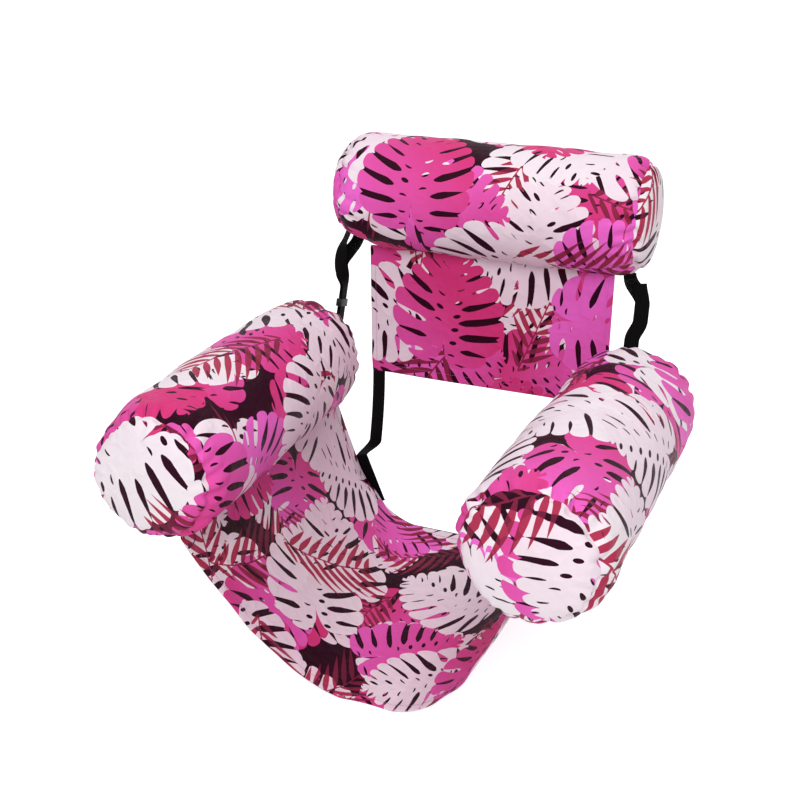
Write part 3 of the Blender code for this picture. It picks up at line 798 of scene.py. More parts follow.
PRINT_LAYERS = (
    PrintLayer(LEAVES, 0.25, 15.0, 9.0, 1.00, WHITE, PALE),
    PrintLayer(LEAVES, 0.25, 65.0, 2.0, 1.00, ROSE_PINK, HOT_PINK),
    PrintLayer(FRONDS, 0.23, 20.0, 1.0, 1.00, MAROON, CRIMSON),
    PrintLayer(LEAVES, 0.27, 38.0, 3.0, 0.85, WHITE, PALE),
    PrintLayer(LEAVES, 0.25, 35.0, 5.0, 0.90, HOT_PINK, ROSE_PINK),
    PrintLayer(FRONDS, 0.26, 50.0, 4.0, 0.75, MAROON, CRIMSON),
    PrintLayer(LEAVES, 0.28, 80.0, 6.0, 0.75, PALE, WHITE),
    PrintLayer(LEAVES, 0.27, 55.0, 8.0, 0.65, HOT_PINK, ROSE_PINK),
    PrintLayer(FRONDS, 0.27, 12.0, 7.0, 0.50, MAROON, CRIMSON),
)


class Groups:
    """The node groups that the finishes share, each built once."""

    def __init__(self) -> None:
        """Build every group."""
        scatter = scatter_group()
        trees = (split_leaf_group(scatter), frond_group(scatter), weave_group(), webbing_group(),
                 handling_group())
        self.trees = {tree.name: tree for tree in trees}

    def place(self, graph: Graph, name: str, **values: object) -> bpy.types.NodeOutputs:
        """Put a group in a graph.

        Args:
            graph: Graph of the material.
            name: Name of the group.
            **values: Value or socket for each input, with underscores for spaces.

        Returns:
            The group node's outputs.
        """
        node = graph.add("ShaderNodeGroup", node_tree=self.trees[name])
        graph.fill(node.inputs, **values)
        return node.outputs


def start_material(name: str) -> tuple[bpy.types.Material, Graph, bpy.types.NodeInputs]:
    """New material with its graph and its shader's inputs."""
    material = bpy.data.materials.new(name)
    material.use_nodes = True
    shader = material.node_tree.nodes["Principled BSDF"]
    return material, Graph(material.node_tree), shader.inputs


def cloth_places(graph: Graph) -> Socket:
    """Cloth coordinates in metres."""
    return graph.add("ShaderNodeUVMap", uv_map=CLOTH_MAP).outputs["UV"]


def bumped(graph: Graph, height: Socket, distance: float) -> Socket:
    """Normal from a height."""
    node = graph.add("ShaderNodeBump")
    graph.fill(node.inputs, Distance=distance, Strength=1.0, Height=height)
    return node.outputs["Normal"]


@dataclass(frozen=True)
class PrintedCloth:
    """Thin polyester cloth with the leaf print.

    Args:
        name: Name of the material.
        fade: How much the colours fade towards white, 0 on the printed side.
        roughness: Roughness between creases.
        sheen: Weight of the soft sheen.
        crease: Height of the small creases.
    """

    name: str
    fade: float = 0.0
    roughness: float = 0.44
    sheen: float = 0.01
    crease: float = 1.7

    def build(self, groups: Groups) -> bpy.types.Material:
        """Material of this finish.

        Args:
            groups: Shared node groups.

        Returns:
            The material.
        """
        material, graph, shader = start_material(self.name)
        surface = cloth_places(graph)
        colour: Union[Socket, Colour] = INK
        for layer in PRINT_LAYERS:
            values = {"Surface": surface, "Under": colour, "Spacing": layer.spacing,
                      "Turn": math.radians(layer.turn), "Seed": layer.seed, "Share": layer.share,
                      "Colour": layer.colour, "Other_Colour": layer.other}
            if layer.group == LEAVES:
                values["Gap_Colour"] = INK
            colour = groups.place(graph, layer.group, **values)["Colour"]
        if self.fade > 0:
            colour = graph.mixed(self.fade, colour, WHITE)
        weave = groups.place(graph, "cloth weave", Surface=surface, Thread=0.0009, Crease=self.crease)
        roughness = Term(graph, weave["Creases"]).times_plus(0.08, self.roughness)
        graph.fill(shader, Base_Color=colour, Roughness=roughness,
                   Normal=bumped(graph, weave["Height"], 0.001), Sheen_Weight=self.sheen,
                   Sheen_Roughness=0.4, Specular_IOR_Level=0.06)
        return material


@dataclass(frozen=True)
class Webbing:
    """Black woven webbing.

    Args:
        name: Name of the material.
        colour: Colour between the threads, darker there as painted shade in the weave's hollows.
        thread: Colour on top of the raised threads, the lit end of that painted shade.
        rib: Distance between two ribs.
    """

    name: str
    colour: Colour = (0.0018, 0.0016, 0.0018, 1.0)
    thread: Colour = (0.0050, 0.0045, 0.0050, 1.0)
    rib: float = 0.0016

    def build(self, groups: Groups) -> bpy.types.Material:
        """Material of this finish, from the shared node groups."""
        material, graph, shader = start_material(self.name)
        weave = groups.place(graph, "webbing weave", Surface=cloth_places(graph), Rib=self.rib)
        # The base colour blends by thread height, darker in the hollows of the weave: painted shade.
        graph.fill(shader, Base_Color=graph.mixed(weave["Threads"], self.colour, self.thread),
                   Roughness=Term(graph, weave["Threads"]).times_plus(-0.12, 0.72),
                   Normal=bumped(graph, weave["Height"], 0.00025), Specular_IOR_Level=0.05)
        return material


@dataclass(frozen=True)
class Thread:
    """Sewing thread.

    Args:
        name: Name of the material.
        colour: Colour of the thread.
    """

    name: str
    colour: Colour

    def build(self, groups: Groups) -> bpy.types.Material:
        """Material of this finish, from the shared node groups."""
        material, graph, shader = start_material(self.name)
        place = graph.add("ShaderNodeNewGeometry").outputs["Position"]
        wear = groups.place(graph, "handling", Place=place, Grain=0.0004)
        darker = tuple(0.6 * part for part in self.colour[:3]) + (1.0,)
        graph.fill(shader, Base_Color=graph.mixed(wear["Tone"], darker, self.colour), Roughness=0.6,
                   Normal=bumped(graph, wear["Height"], 0.0001))
        return material


@dataclass(frozen=True)
class Moulded:
    """Moulded plastic or vinyl.

    Args:
        name: Name of the material.
        colour: Colour where it is untouched.
        worn: Colour where it is handled.
        roughness: Roughness where it is untouched.
        grain: Size of its surface grain.
        depth: Depth of that grain.
        specular: Strength of its reflections.
    """

    name: str
    colour: Colour
    worn: Colour
    roughness: float
    grain: float
    depth: float
    specular: float = 0.5

    def build(self, groups: Groups) -> bpy.types.Material:
        """Material of this finish, from the shared node groups."""
        material, graph, shader = start_material(self.name)
        place = graph.add("ShaderNodeTexCoord").outputs["Object"]
        wear = groups.place(graph, "handling", Place=place, Grain=self.grain)
        graph.fill(shader, Base_Color=graph.mixed(wear["Tone"], self.colour, self.worn),
                   Roughness=Term(graph, wear["Tone"]).times_plus(0.16, self.roughness),
                   Normal=bumped(graph, wear["Height"], self.depth), Specular_IOR_Level=self.specular)
        return material


class Finishes:
    """Every material of the lounger, built from the shared groups."""

    def __init__(self) -> None:
        """Build the materials."""
        groups = Groups()
        self.cloth = PrintedCloth("printed polyester").build(groups)
        self.reverse = PrintedCloth("cloth reverse", fade=0.55, roughness=0.6, sheen=0.05).build(groups)
        self.webbing = Webbing("black webbing").build(groups)
        self.black_thread = Thread("black thread", (0.012, 0.012, 0.013, 1.0)).build(groups)
        self.pink_thread = Thread("pink thread", (0.62, 0.16, 0.42, 1.0)).build(groups)
        self.vinyl = Moulded("bladder vinyl", (0.72, 0.75, 0.78, 1.0), (0.80, 0.82, 0.84, 1.0),
                             0.28, 0.004, 0.0002).build(groups)
        self.valve = Moulded("valve plastic", (0.80, 0.80, 0.77, 1.0), (0.88, 0.88, 0.86, 1.0),
                             0.34, 0.0006, 0.00003).build(groups)
        self.slider = Moulded("slider plastic", (0.005, 0.005, 0.006, 1.0), (0.012, 0.012, 0.013, 1.0),
                              0.38, 0.0005, 0.00004, specular=0.25).build(groups)


# Sewing and webbing


STITCH_STATIONS = np.array([-0.5, -0.36, 0.36, 0.5])
STITCH_HEIGHTS = np.array([0.1, 1.0, 1.0, 0.1])[:, None]
STITCH_LIFTS = np.array([0.0, 0.30, 0.30, 0.0])[:, None]


def thread_row(name: str, line: np.ndarray, out: np.ndarray, material: bpy.types.Material,
               pitch: float = 0.0045, long: float = 0.0032, gauge: float = 0.00055) -> bpy.types.Object:
    """Row of stitches along a line, each a small rounded bar of thread.

    Args:
        name: Name of the piece.
        line: Points of the seam.
        out: Direction out of the cloth at each point.
        material: Thread material.
        pitch: Distance between stitches.
        long: Length of one stitch.
        gauge: Width of the thread.

    Returns:
        The row as one piece.
    """
    along = line_lengths(line)
    count = max(1, int(along[-1] / pitch))
    points: list[np.ndarray] = []
    faces: list[tuple[int, ...]] = []
    for index in range(count):
        stations = (index + 0.5) * pitch + STITCH_STATIONS * long
        middle = read_at(stations, along, line)
        lift = unit(read_at(stations, along, out))
        run = unit(middle[-1:] - middle[:1])
        beside = unit(np.cross(np.repeat(run, 4, axis=0), lift))
        height = STITCH_HEIGHTS * gauge / 2
        middle = middle + lift * gauge * STITCH_LIFTS
        base = len(points) * 4
        for turn in range(4):
            angle = math.pi / 4 + turn * math.pi / 2
            points.append(middle + (beside * math.cos(angle) + lift * math.sin(angle)) * height * 1.4)
        for span in range(3):
            for turn in range(4):
                here = base + turn * 4 + span
                there = base + (turn + 1) % 4 * 4 + span
                faces.append((here, here + 1, there + 1, there))
        faces.append((base, base + 4, base + 8, base + 12))
        faces.append((base + 15, base + 11, base + 7, base + 3))
    mesh = bpy.data.meshes.new(name)
    mesh.from_pydata(np.concatenate(points).tolist(), [], faces)
    mesh.shade_smooth()
    return add_piece(name, mesh, [material])


@dataclass
class Tape:
    """A length of webbing that follows a row of frames.

    Args:
        middles: Points along the middle of the tape.
        widths: Direction of its width at each point.
        width: Width of the tape.
        thickness: Thickness of the tape.
    """

    middles: np.ndarray
    widths: np.ndarray
    width: float = WEBBING_WIDTH
    thickness: float = WEBBING_THICKNESS
    ACROSS = (-1.0, -0.93, -0.55, 0.0, 0.55, 0.93, 1.0)
    FULLNESS = (0.25, 0.95, 1.0, 0.96, 1.0, 0.95, 0.25)
    INSET = 0.003
    PARTS = 8

    def faces_out(self) -> np.ndarray:
        """Direction square to the tape at each point."""
        run = np.gradient(self.middles, axis=0)
        return unit(np.cross(run, self.widths))

    def mesh(self, name: str) -> bpy.types.Mesh:
        """Closed mesh of the tape, with rounded selvedges and ends.

        Args:
            name: Name of the mesh.

        Returns:
            The mesh.
        """
        out = self.faces_out()
        along = line_lengths(self.middles)
        across = np.array(self.ACROSS)
        full = np.array(self.FULLNESS) * self.thickness / 2
        width = unit(self.widths)[:, None, :] * across[None, :, None] * self.width / 2
        upper = self.middles[:, None, :] + width + out[:, None, :] * full[None, :, None]
        lower = self.middles[:, None, :] + width - out[:, None, :] * full[None, :, None]
        grid = np.concatenate([upper, lower[:, ::-1]], axis=1)
        flat = np.concatenate([across, across[::-1]]) * self.width / 2
        flat = np.append(flat, flat[0])
        cloth = np.stack(np.broadcast_arrays(flat[None, :], along[:, None]), axis=-1)
        mesh = grid_mesh(name, grid, cloth, around=True)
        self.close_ends(mesh, len(self.middles), grid.shape[1])
        return mesh

    def piece(self, node: str, finishes: Finishes) -> bpy.types.Object:
        """The tape as a piece, named after the CAD node that it stands for."""
        name = f"{node}_tape"
        return add_piece(name, self.mesh(name), [finishes.webbing])

    @staticmethod
    def close_ends(mesh: bpy.types.Mesh, rows: int, ring: int) -> None:
        """Fill the two cut ends of a tape's mesh."""
        shape = bmesh.new()
        shape.from_mesh(mesh)
        shape.verts.ensure_lookup_table()
        shape.faces.new([shape.verts[index] for index in reversed(range(ring))])
        shape.faces.new([shape.verts[(rows - 1) * ring + index] for index in range(ring)])
        bmesh.ops.recalc_face_normals(shape, faces=shape.faces[:])
        shape.to_mesh(mesh)
        shape.free()

    def sew(self, node: str, span: tuple[float, float], face: int, finishes: Finishes) -> None:
        """Sew a box of stitches with a cross in it on one face of a tape of the backrest.

        Args:
            node: Name of the CAD node that the tape stands for.
            span: Distances along the tape at which the box starts and ends.
            face: Face of the tape, 1 or -1.
            finishes: Materials.
        """
        start, end = span
        half = self.width / 2 - self.INSET
        corners = [(-half, start), (half, start), (half, end), (-half, end), (-half, start),
                   (half, end), (half, start), (-half, end)]
        line: list[tuple[float, float]] = []
        for (x0, y0), (x1, y1) in zip(corners, corners[1:]):
            line += [(x0 + (x1 - x0) * k / self.PARTS, y0 + (y1 - y0) * k / self.PARTS)
                     for k in range(self.PARTS)]
        line.append(corners[-1])
        flat = np.array(line)
        along = line_lengths(self.middles)
        middle = read_at(flat[:, 1], along, self.middles)
        width = unit(read_at(flat[:, 1], along, self.widths))
        out = unit(read_at(flat[:, 1], along, self.faces_out()))
        points = middle + width * flat[:, :1] + out * (face * self.thickness / 2)
        box = thread_row(f"{node}_stitches", points, out * face, finishes.black_thread,
                         pitch=0.0030, long=0.0024, gauge=0.0005)
        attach(box, Body.BACKREST.value)
        report(box)


# Air tubes


@dataclass(frozen=True)
class ArmPlace:
    """Where the armrests lie.

    Args:
        radius: Radius of an armrest.
        length: Length of an armrest.
        half_spacing: Distance of its middle from the plane of symmetry.
        y: Place of its middle from front to rear.
        z: Height of its middle.
        rise: Angle by which its front end lies higher than its rear end.
        toe_in: Angle by which its front end lies nearer to the other armrest.
        seam_angle: Angle round it from its inner side down to its seam with the seat.
        seam_gap: Distance between its cloth and the middle of the seat's edge.
    """

    radius: float = 0.107
    length: float = 0.598
    half_spacing: float = 0.289
    y: float = -0.085
    z: float = 0.393
    rise: float = math.radians(3.9)
    toe_in: float = math.radians(2.2)
    seam_angle: float = math.radians(74.0)
    seam_gap: float = 0.0007

    def axis(self, side: Side) -> np.ndarray:
        """Direction from an armrest's front end to its rear end."""
        level = math.cos(self.rise)
        return np.array([side.value * math.sin(self.toe_in) * level, math.cos(self.toe_in) * level,
                         -math.sin(self.rise)])

    def seam_direction(self, side: Side) -> np.ndarray:
        """Direction from an armrest's axis to its seam with the seat."""
        axis = self.axis(side)
        inward = np.array([-side.value, 0.0, 0.0])
        inward = unit(inward - axis * (inward @ axis))
        down = np.array([0.0, 0.0, -1.0])
        down = unit(down - axis * (down @ axis) - inward * (down @ inward))
        return inward * math.cos(self.seam_angle) + down * math.sin(self.seam_angle)

    def middle(self, side: Side) -> np.ndarray:
        """Middle of an armrest's axis."""
        return np.array([side.value * self.half_spacing, self.y, self.z])

    def hinge_point(self, side: Side, along: np.ndarray) -> np.ndarray:
        """Points of the seam line at distances from the armrest's middle, towards its rear."""
        out = self.seam_direction(side) * (self.radius + self.seam_gap)
        return self.middle(side) + out + np.asarray(along)[..., None] * self.axis(side)


@dataclass
class AirTube:
    """A cloth-covered air tube with its valve.

    Args:
        name: Name of the tube.
        body: Body that carries it.
        radius: Radius of the sleeve.
        length: Length over both ends.
        middle: Middle of its axis.
        axis: Direction of its axis, towards the end with the valve.
        seam: Direction from the axis to the cloth that is sewn to it.
        ends: Names of the ends, the one with the valve first.
        sewn: Stretch of the axis along which cloth is sewn to it.
        shift: Place in the print at which its sleeve is cut.
        end_shifts: Places in the print at which its ends are cut, the one with the valve first.
        seed: Seed of its puckers.
        held: Share of its movement that the sewn seam takes away beside it.
        tucks: End with the valve or not, angle from the sewn seam, depth and spread of each drawn-in place.
        shoulder: Radius of the rounding between the sleeve and an end.
        seam_angle: Turn of that rounding at which the end seam lies.
        dome: How far an end bulges.
        hole: Radius of the hole round the valve.
        step: Distance between rows.
        columns: Points round the tube.
        pressure: Air pressure in the simulation.
        reach: Furthest that a point may move.
        pleat: Depth of the pleats at the end seams.
        pucker: Depth of the puckers at the sewn seam.
        gather: Height of the gathers that the simulation starts from.
        wave: Height of the slow unevenness that it starts from.
        draw: How far the end seams draw in.
        fullness: Extra share of cloth at the end seams.
        slack: Height of the waves in the cut beside the sewn seam.
        slack_pitch: Length of one of these waves.
        least: Smallest radius of a row.
        pleat_length: Middle value and change of the pleats' length on the sleeve.
        pleat_on_end: Length of the pleats on an end.
        bladder_inset: How far the bladder lies inside the cover, along and across the axis.
        bladder_hole: Radius of the bladder's hole at the valve.
        bladder_end: How far short of the tube's full length the bladder's valve end stays.
        weld: Height of the bladder's weld lines.
        weld_spread: Width of a weld line.
    """

    name: str
    body: Body
    radius: float
    length: float
    middle: np.ndarray
    axis: np.ndarray
    seam: np.ndarray
    ends: tuple[str, str]
    sewn: tuple[float, float]
    shift: tuple[float, float]
    end_shifts: tuple[tuple[float, float], tuple[float, float]]
    seed: int
    held: float
    tucks: tuple[tuple[bool, float, float, float], ...]
    shoulder: float = 0.045
    seam_angle: float = math.radians(37.0)
    dome: float = 0.006
    hole: float = 0.009
    step: float = 0.0048
    columns: int = 160
    pressure: float = 2.6
    reach: float = 0.008
    pleat: float = 0.0080
    pucker: float = 0.0040
    gather: float = 0.0060
    wave: float = 0.0024
    draw: float = 0.0042
    fullness: float = 0.085
    slack: float = 0.0022
    slack_pitch: float = 0.020
    least: float = 0.0004
    pleat_length: tuple[float, float] = (0.034, 0.014)
    pleat_on_end: float = 0.010
    bladder_inset: tuple[float, float] = (0.0063, 0.0140)
    bladder_hole: float = 0.0058
    bladder_end: float = 0.0012
    weld: float = 0.0008
    weld_spread: float = 0.004

    def half_profile(self) -> tuple[np.ndarray, int]:
        """Line from the middle of the sleeve to the middle of one end.

        Returns:
            Points of (height, radius), and the index of the end seam among them.
        """
        straight = self.length / 2 - self.shoulder
        inner = self.radius - self.shoulder
        turns = np.linspace(0.0, math.pi / 2, 60)
        dome = np.linspace(inner, 0.0, 40)[1:]
        height = np.concatenate([[0.0], straight + self.shoulder * np.sin(turns),
                                 self.length / 2 + self.dome * (1 - (dome / inner) ** 2)])
        radius = np.concatenate([[self.radius], inner + self.shoulder * np.cos(turns), dome])
        line = np.stack([height, radius], axis=1)
        along = line_lengths(line)
        at_seam = straight + self.shoulder * self.seam_angle
        sleeve = np.linspace(0.0, at_seam, max(3, round(at_seam / self.step)) + 1)
        rest = np.linspace(at_seam, along[-1], max(3, round((along[-1] - at_seam) / self.step)) + 1)[1:]
        places = np.concatenate([sleeve, rest])
        return read_at(places, along, line), len(sleeve) - 1

    def profile(self) -> tuple[np.ndarray, tuple[int, int]]:
        """Whole line from the plain end's middle to the valve end's hole.

        Returns:
            Points of (height, radius), and the indices of the two end seams.
        """
        half, seam = self.half_profile()
        top = half.copy()
        top[-1] = [top[-1, 0], self.hole]
        bottom = half[:0:-1] * np.array([-1.0, 1.0])
        bottom[0, 1] = self.least
        return np.concatenate([bottom, top]), (len(bottom) - seam, len(bottom) + seam)

    def angles(self) -> np.ndarray:
        """Angle of each column round the axis, from the sewn seam."""
        return np.arange(self.columns) * 2 * math.pi / self.columns

    def round_axis(self, radius: np.ndarray, angles: np.ndarray, height: np.ndarray) -> np.ndarray:
        """Points in the lounger's frame.

        Args:
            radius: Distance of each from the tube's axis.
            angles: Angle of each from the sewn seam.
            height: Place of each along the axis, from the tube's middle.

        Returns:
            The points.
        """
        height = np.broadcast_to(height, np.broadcast_shapes(np.shape(radius), np.shape(angles)))
        local = np.stack([radius * np.cos(angles), radius * np.sin(angles), height], axis=-1)
        return self.middle + local @ np.stack([self.seam, np.cross(self.axis, self.seam), self.axis])

    def ringed(self, profile: np.ndarray, swell: np.ndarray) -> np.ndarray:
        """Grid of points round the axis.

        Args:
            profile: Points of (height, radius).
            swell: Change of the radius at each row and column.

        Returns:
            Grid in the lounger's frame.
        """
        return self.round_axis(np.maximum(profile[:, 1:] + swell, self.least), self.angles(), profile[:, :1])

    def end_nearness(self, profile: np.ndarray, seams: tuple[int, int], spread: float) -> np.ndarray:
        """How near each row is to an end seam, 1 at the seam."""
        along = line_lengths(profile)
        away = np.minimum(np.abs(along - along[seams[0]]), np.abs(along - along[seams[1]]))
        return np.exp(-(away / spread) ** 2)[:, None]

    def sewn_share(self, profile: np.ndarray) -> np.ndarray:
        """Rows in the stretch to which other cloth is sewn, 1 inside it."""
        height = profile[:, 0]
        low, high = self.sewn
        return (ease((height - low) / 0.02 + 0.5) * ease((high - height) / 0.02 + 0.5))[:, None]

    def seam_nearness(self, spread: float) -> np.ndarray:
        """How near each column is to the sewn seam, 1 at the seam."""
        angles = self.angles()
        away = np.minimum(angles, 2 * math.pi - angles) * self.radius
        return np.exp(-(away / spread) ** 2)[None, :]

    def start_grid(self) -> np.ndarray:
        """Grid that the simulation starts from, with small seeded gathers near the seams."""
        profile, seams = self.profile()
        height, outward = profile[:, :1], profile[:, 1:]
        angles = self.angles()[None, :] + 0.0 * height
        near = self.end_nearness(profile, seams, 0.034) * ease((outward - 0.02) / 0.03)
        gathers = np.abs(ripple(angles + 1.3 * height, self.seed, (9, 13, 17), 2 * math.pi)) - 0.22
        swell = gathers * self.gather * near * (1 - 0.6 * self.end_nearness(profile, seams, 0.005))
        slow = ripple(angles + height * 11.0, self.seed + 1, (2, 3, 4), 2 * math.pi)
        cross = ripple(angles - height * 17.0, self.seed + 3, (1, 3, 5), 2 * math.pi)
        swell = swell + (slow + cross) * self.wave * ease((outward / self.radius - 0.8) / 0.2) * (1 - near)
        draw = self.draw * self.end_nearness(profile, seams, 0.006)
        return self.ringed(profile, swell - draw)

    def cut_grid(self) -> np.ndarray:
        """Grid with the lengths of the cut cloth, fuller near the seams so that it gathers there."""
        profile, seams = self.profile()
        fuller = 1.012 + self.fullness * self.end_nearness(profile, seams, 0.030)
        radius = profile[:, 1:] * (fuller - 1.0)
        waves = np.sin(2 * math.pi * profile[:, :1] / self.slack_pitch)
        radius = radius + self.slack * waves * self.sewn_share(profile) * self.seam_nearness(0.030)
        stretched = profile.copy()
        stretched[:, 0] *= 1.008
        return self.ringed(stretched, radius)

    def pins(self) -> np.ndarray:
        """Weights that hold the seams and the cloth round the valve."""
        profile, seams = self.profile()
        weights = np.zeros((len(profile), self.columns))
        weights[list(seams)] = 1.0
        weights[-3:] = 1.0
        weights[:2] = 0.6
        rows = self.sewn_share(profile)[:, 0] > 0.5
        weights[rows, 0] = 1.0
        return weights

    def reaches(self) -> np.ndarray:
        """How far each point may move, least beside the sewn seam."""
        profile, _ = self.profile()
        return self.reach * (1 - self.held * self.sewn_share(profile) * self.seam_nearness(0.060))

    def gathered(self, grid: np.ndarray) -> np.ndarray:
        """Settled cover with pleats at its end seams, puckers at the sewn seam and drawn-in places.

        Args:
            grid: Settled points.

        Returns:
            The points, moved inwards square to the cloth.
        """
        profile, seams = self.profile()
        along = line_lengths(profile)[:, None]
        angles = self.angles()[None, :]
        depth = np.zeros(grid.shape[:2])
        for valve_end, seam in zip((False, True), seams):
            past = along - along[seam]
            on_sleeve = past < 0 if valve_end else past > 0
            seed = self.seed + 5 + 2 * int(valve_end)
            middle, change = self.pleat_length
            long = middle + change * ripple(angles, seed + 1, (3, 5, 8), 2 * math.pi)
            spread = np.where(on_sleeve, long, self.pleat_on_end)
            waves = np.abs(ripple(angles + 3.0 * np.abs(past), seed, (7, 10, 14), 2 * math.pi))
            valleys = np.clip(1 - waves / 0.5, 0.0, 1.0) ** 1.4
            beyond_centre = ease((profile[:, 1:] - 0.02) / 0.03)
            depth += self.pleat * valleys * np.exp(-(past / spread) ** 2) * beyond_centre
        slanted = profile[:, :1] + 0.02 * np.sin(angles)
        waves = np.abs(ripple(slanted, self.seed + 2, (9, 13, 18), self.length))
        beside = self.seam_nearness(0.024) * (1 - self.seam_nearness(0.003)) * self.sewn_share(profile)
        depth += self.pucker * np.clip(1 - waves / 0.5, 0.0, 1.0) * beside
        return self.drawn_in(grid, depth)

    def drawn_in(self, grid: np.ndarray, depth: Union[np.ndarray, float]) -> np.ndarray:
        """Points moved inwards, square to their surface, by a depth and by the drawn-in places.

        Args:
            grid: Points round the axis.
            depth: Depth at each point.

        Returns:
            The moved points.
        """
        profile, seams = self.profile()
        for valve_end, angle, drawn, spread in self.tucks:
            height, radius = profile[seams[int(valve_end)]]
            place = self.round_axis(radius, angle, height)
            away = np.linalg.norm(grid - place, axis=-1)
            depth = depth + drawn * np.exp(-(away / spread) ** 2)
        out = surface_normals(grid, True)
        facing = np.sign(np.sum(out * (grid - self.middle), axis=-1, keepdims=True))
        return grid - out * facing * np.asarray(depth)[..., None]

    def job(self) -> ClothJob:
        """The cover as a job for the simulation."""
        return ClothJob(self.name, self.start_grid(), self.cut_grid(), self.pins(), self.reaches(),
                        around=True, pressure=self.pressure)

    def cloth_map(self, rows: slice, sleeve: bool, shift: tuple[float, float]) -> np.ndarray:
        """Cloth coordinates of some rows.

        Args:
            rows: Rows of the grid.
            sleeve: True for the sleeve, False for a round end panel.
            shift: Place in the print at which the piece is cut.

        Returns:
            Coordinates with one more column than the grid.
        """
        profile, _ = self.profile()
        angles = np.append(self.angles(), 2 * math.pi)
        part = profile[rows]
        if sleeve:
            across, along = np.broadcast_arrays(angles[None, :] * self.radius, line_lengths(part)[:, None])
        else:
            centre_first = part[0, 1] < part[-1, 1]
            lengths = line_lengths(part)
            spread = (lengths if centre_first else lengths[-1] - lengths)[:, None]
            spread = spread + min(part[0, 1], part[-1, 1])
            across, along = spread * np.cos(angles), spread * np.sin(angles)
        return np.stack([across, along], axis=-1) + np.array(shift)

    def add_cloth(self, node: str, points: np.ndarray, cloth: np.ndarray, finishes: Finishes) -> None:
        """Make one cloth piece of the cover.

        Args:
            node: CAD node that it stands for.
            points: Its rows of the settled grid.
            cloth: Its cloth coordinates.
            finishes: Materials.
        """
        name = f"{node}_cloth"
        piece = add_piece(name, grid_mesh(name, points, cloth, around=True), [finishes.cloth])
        subdivide(piece)
        stand_in(piece, node, self.body)

    def build(self, grid: np.ndarray, finishes: Finishes) -> None:
        """Make every piece of the tube from the settled grid.

        Args:
            grid: Settled points of the cover.
            finishes: Materials.
        """
        _, (low, high) = self.profile()
        grid = self.gathered(grid)
        valve_end, plain_end = self.ends
        for node, rows, sleeve, shift in (
                (f"{self.name}_sleeve", slice(low, high + 1), True, self.shift),
                (f"{self.name}_{plain_end}_end", slice(0, low + 1), False, self.end_shifts[1]),
                (f"{self.name}_{valve_end}_end", slice(high, len(grid)), False, self.end_shifts[0])):
            self.add_cloth(node, grid[rows], self.cloth_map(rows, sleeve, shift), finishes)
        self.add_bladder(finishes)
        dress_node(f"{self.name}_valve", finishes.valve, bevel=0.0006)
        dress_node(f"{self.name}_valve_plug", finishes.valve, bevel=0.0005)

    def add_bladder(self, finishes: Finishes) -> None:
        """Make the air bladder inside the cover, with a weld line round each end."""
        half, _ = self.half_profile()
        inner = half - np.array(self.bladder_inset)
        inner = inner[inner[:, 1] > self.bladder_hole]
        both = np.concatenate([inner[::-1] * np.array([-1.0, 1.0]), inner[1:]])
        both[:, 0] = np.clip(both[:, 0], None, self.length / 2 - self.bladder_end)
        angles = self.angles()[::2]
        from_weld = np.abs(both[:, 0]) - self.length / 2 + self.shoulder
        weld = self.weld * np.exp(-(from_weld / self.weld_spread) ** 2)
        grid = self.drawn_in(self.round_axis((both[:, 1] + weld)[:, None], angles, both[:, :1]), 0.0)
        blank = np.zeros((len(both), len(angles) + 1, 2))
        name = f"{self.name}_bladder_vinyl"
        piece = add_piece(name, grid_mesh(name, grid, blank, around=True), [finishes.vinyl])
        stand_in(piece, f"{self.name}_bladder", self.body)


def dress_node(node: str, material: bpy.types.Material, bevel: float) -> None:
    """Give a CAD node its finish and softened edges.

    Args:
        node: Name of the CAD node.
        material: Its material.
        bevel: Width of the softened edges.
    """
    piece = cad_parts[node]
    piece.data.materials.clear()
    piece.data.materials.append(material)
    add_modifier(piece, "WELD", merge_threshold=0.00001)
    add_modifier(piece, "BEVEL", width=bevel, segments=2, limit_method="ANGLE", angle_limit=math.radians(35))
    piece.data.shade_smooth()
    log.info("%s: dressed", node)


# Seat


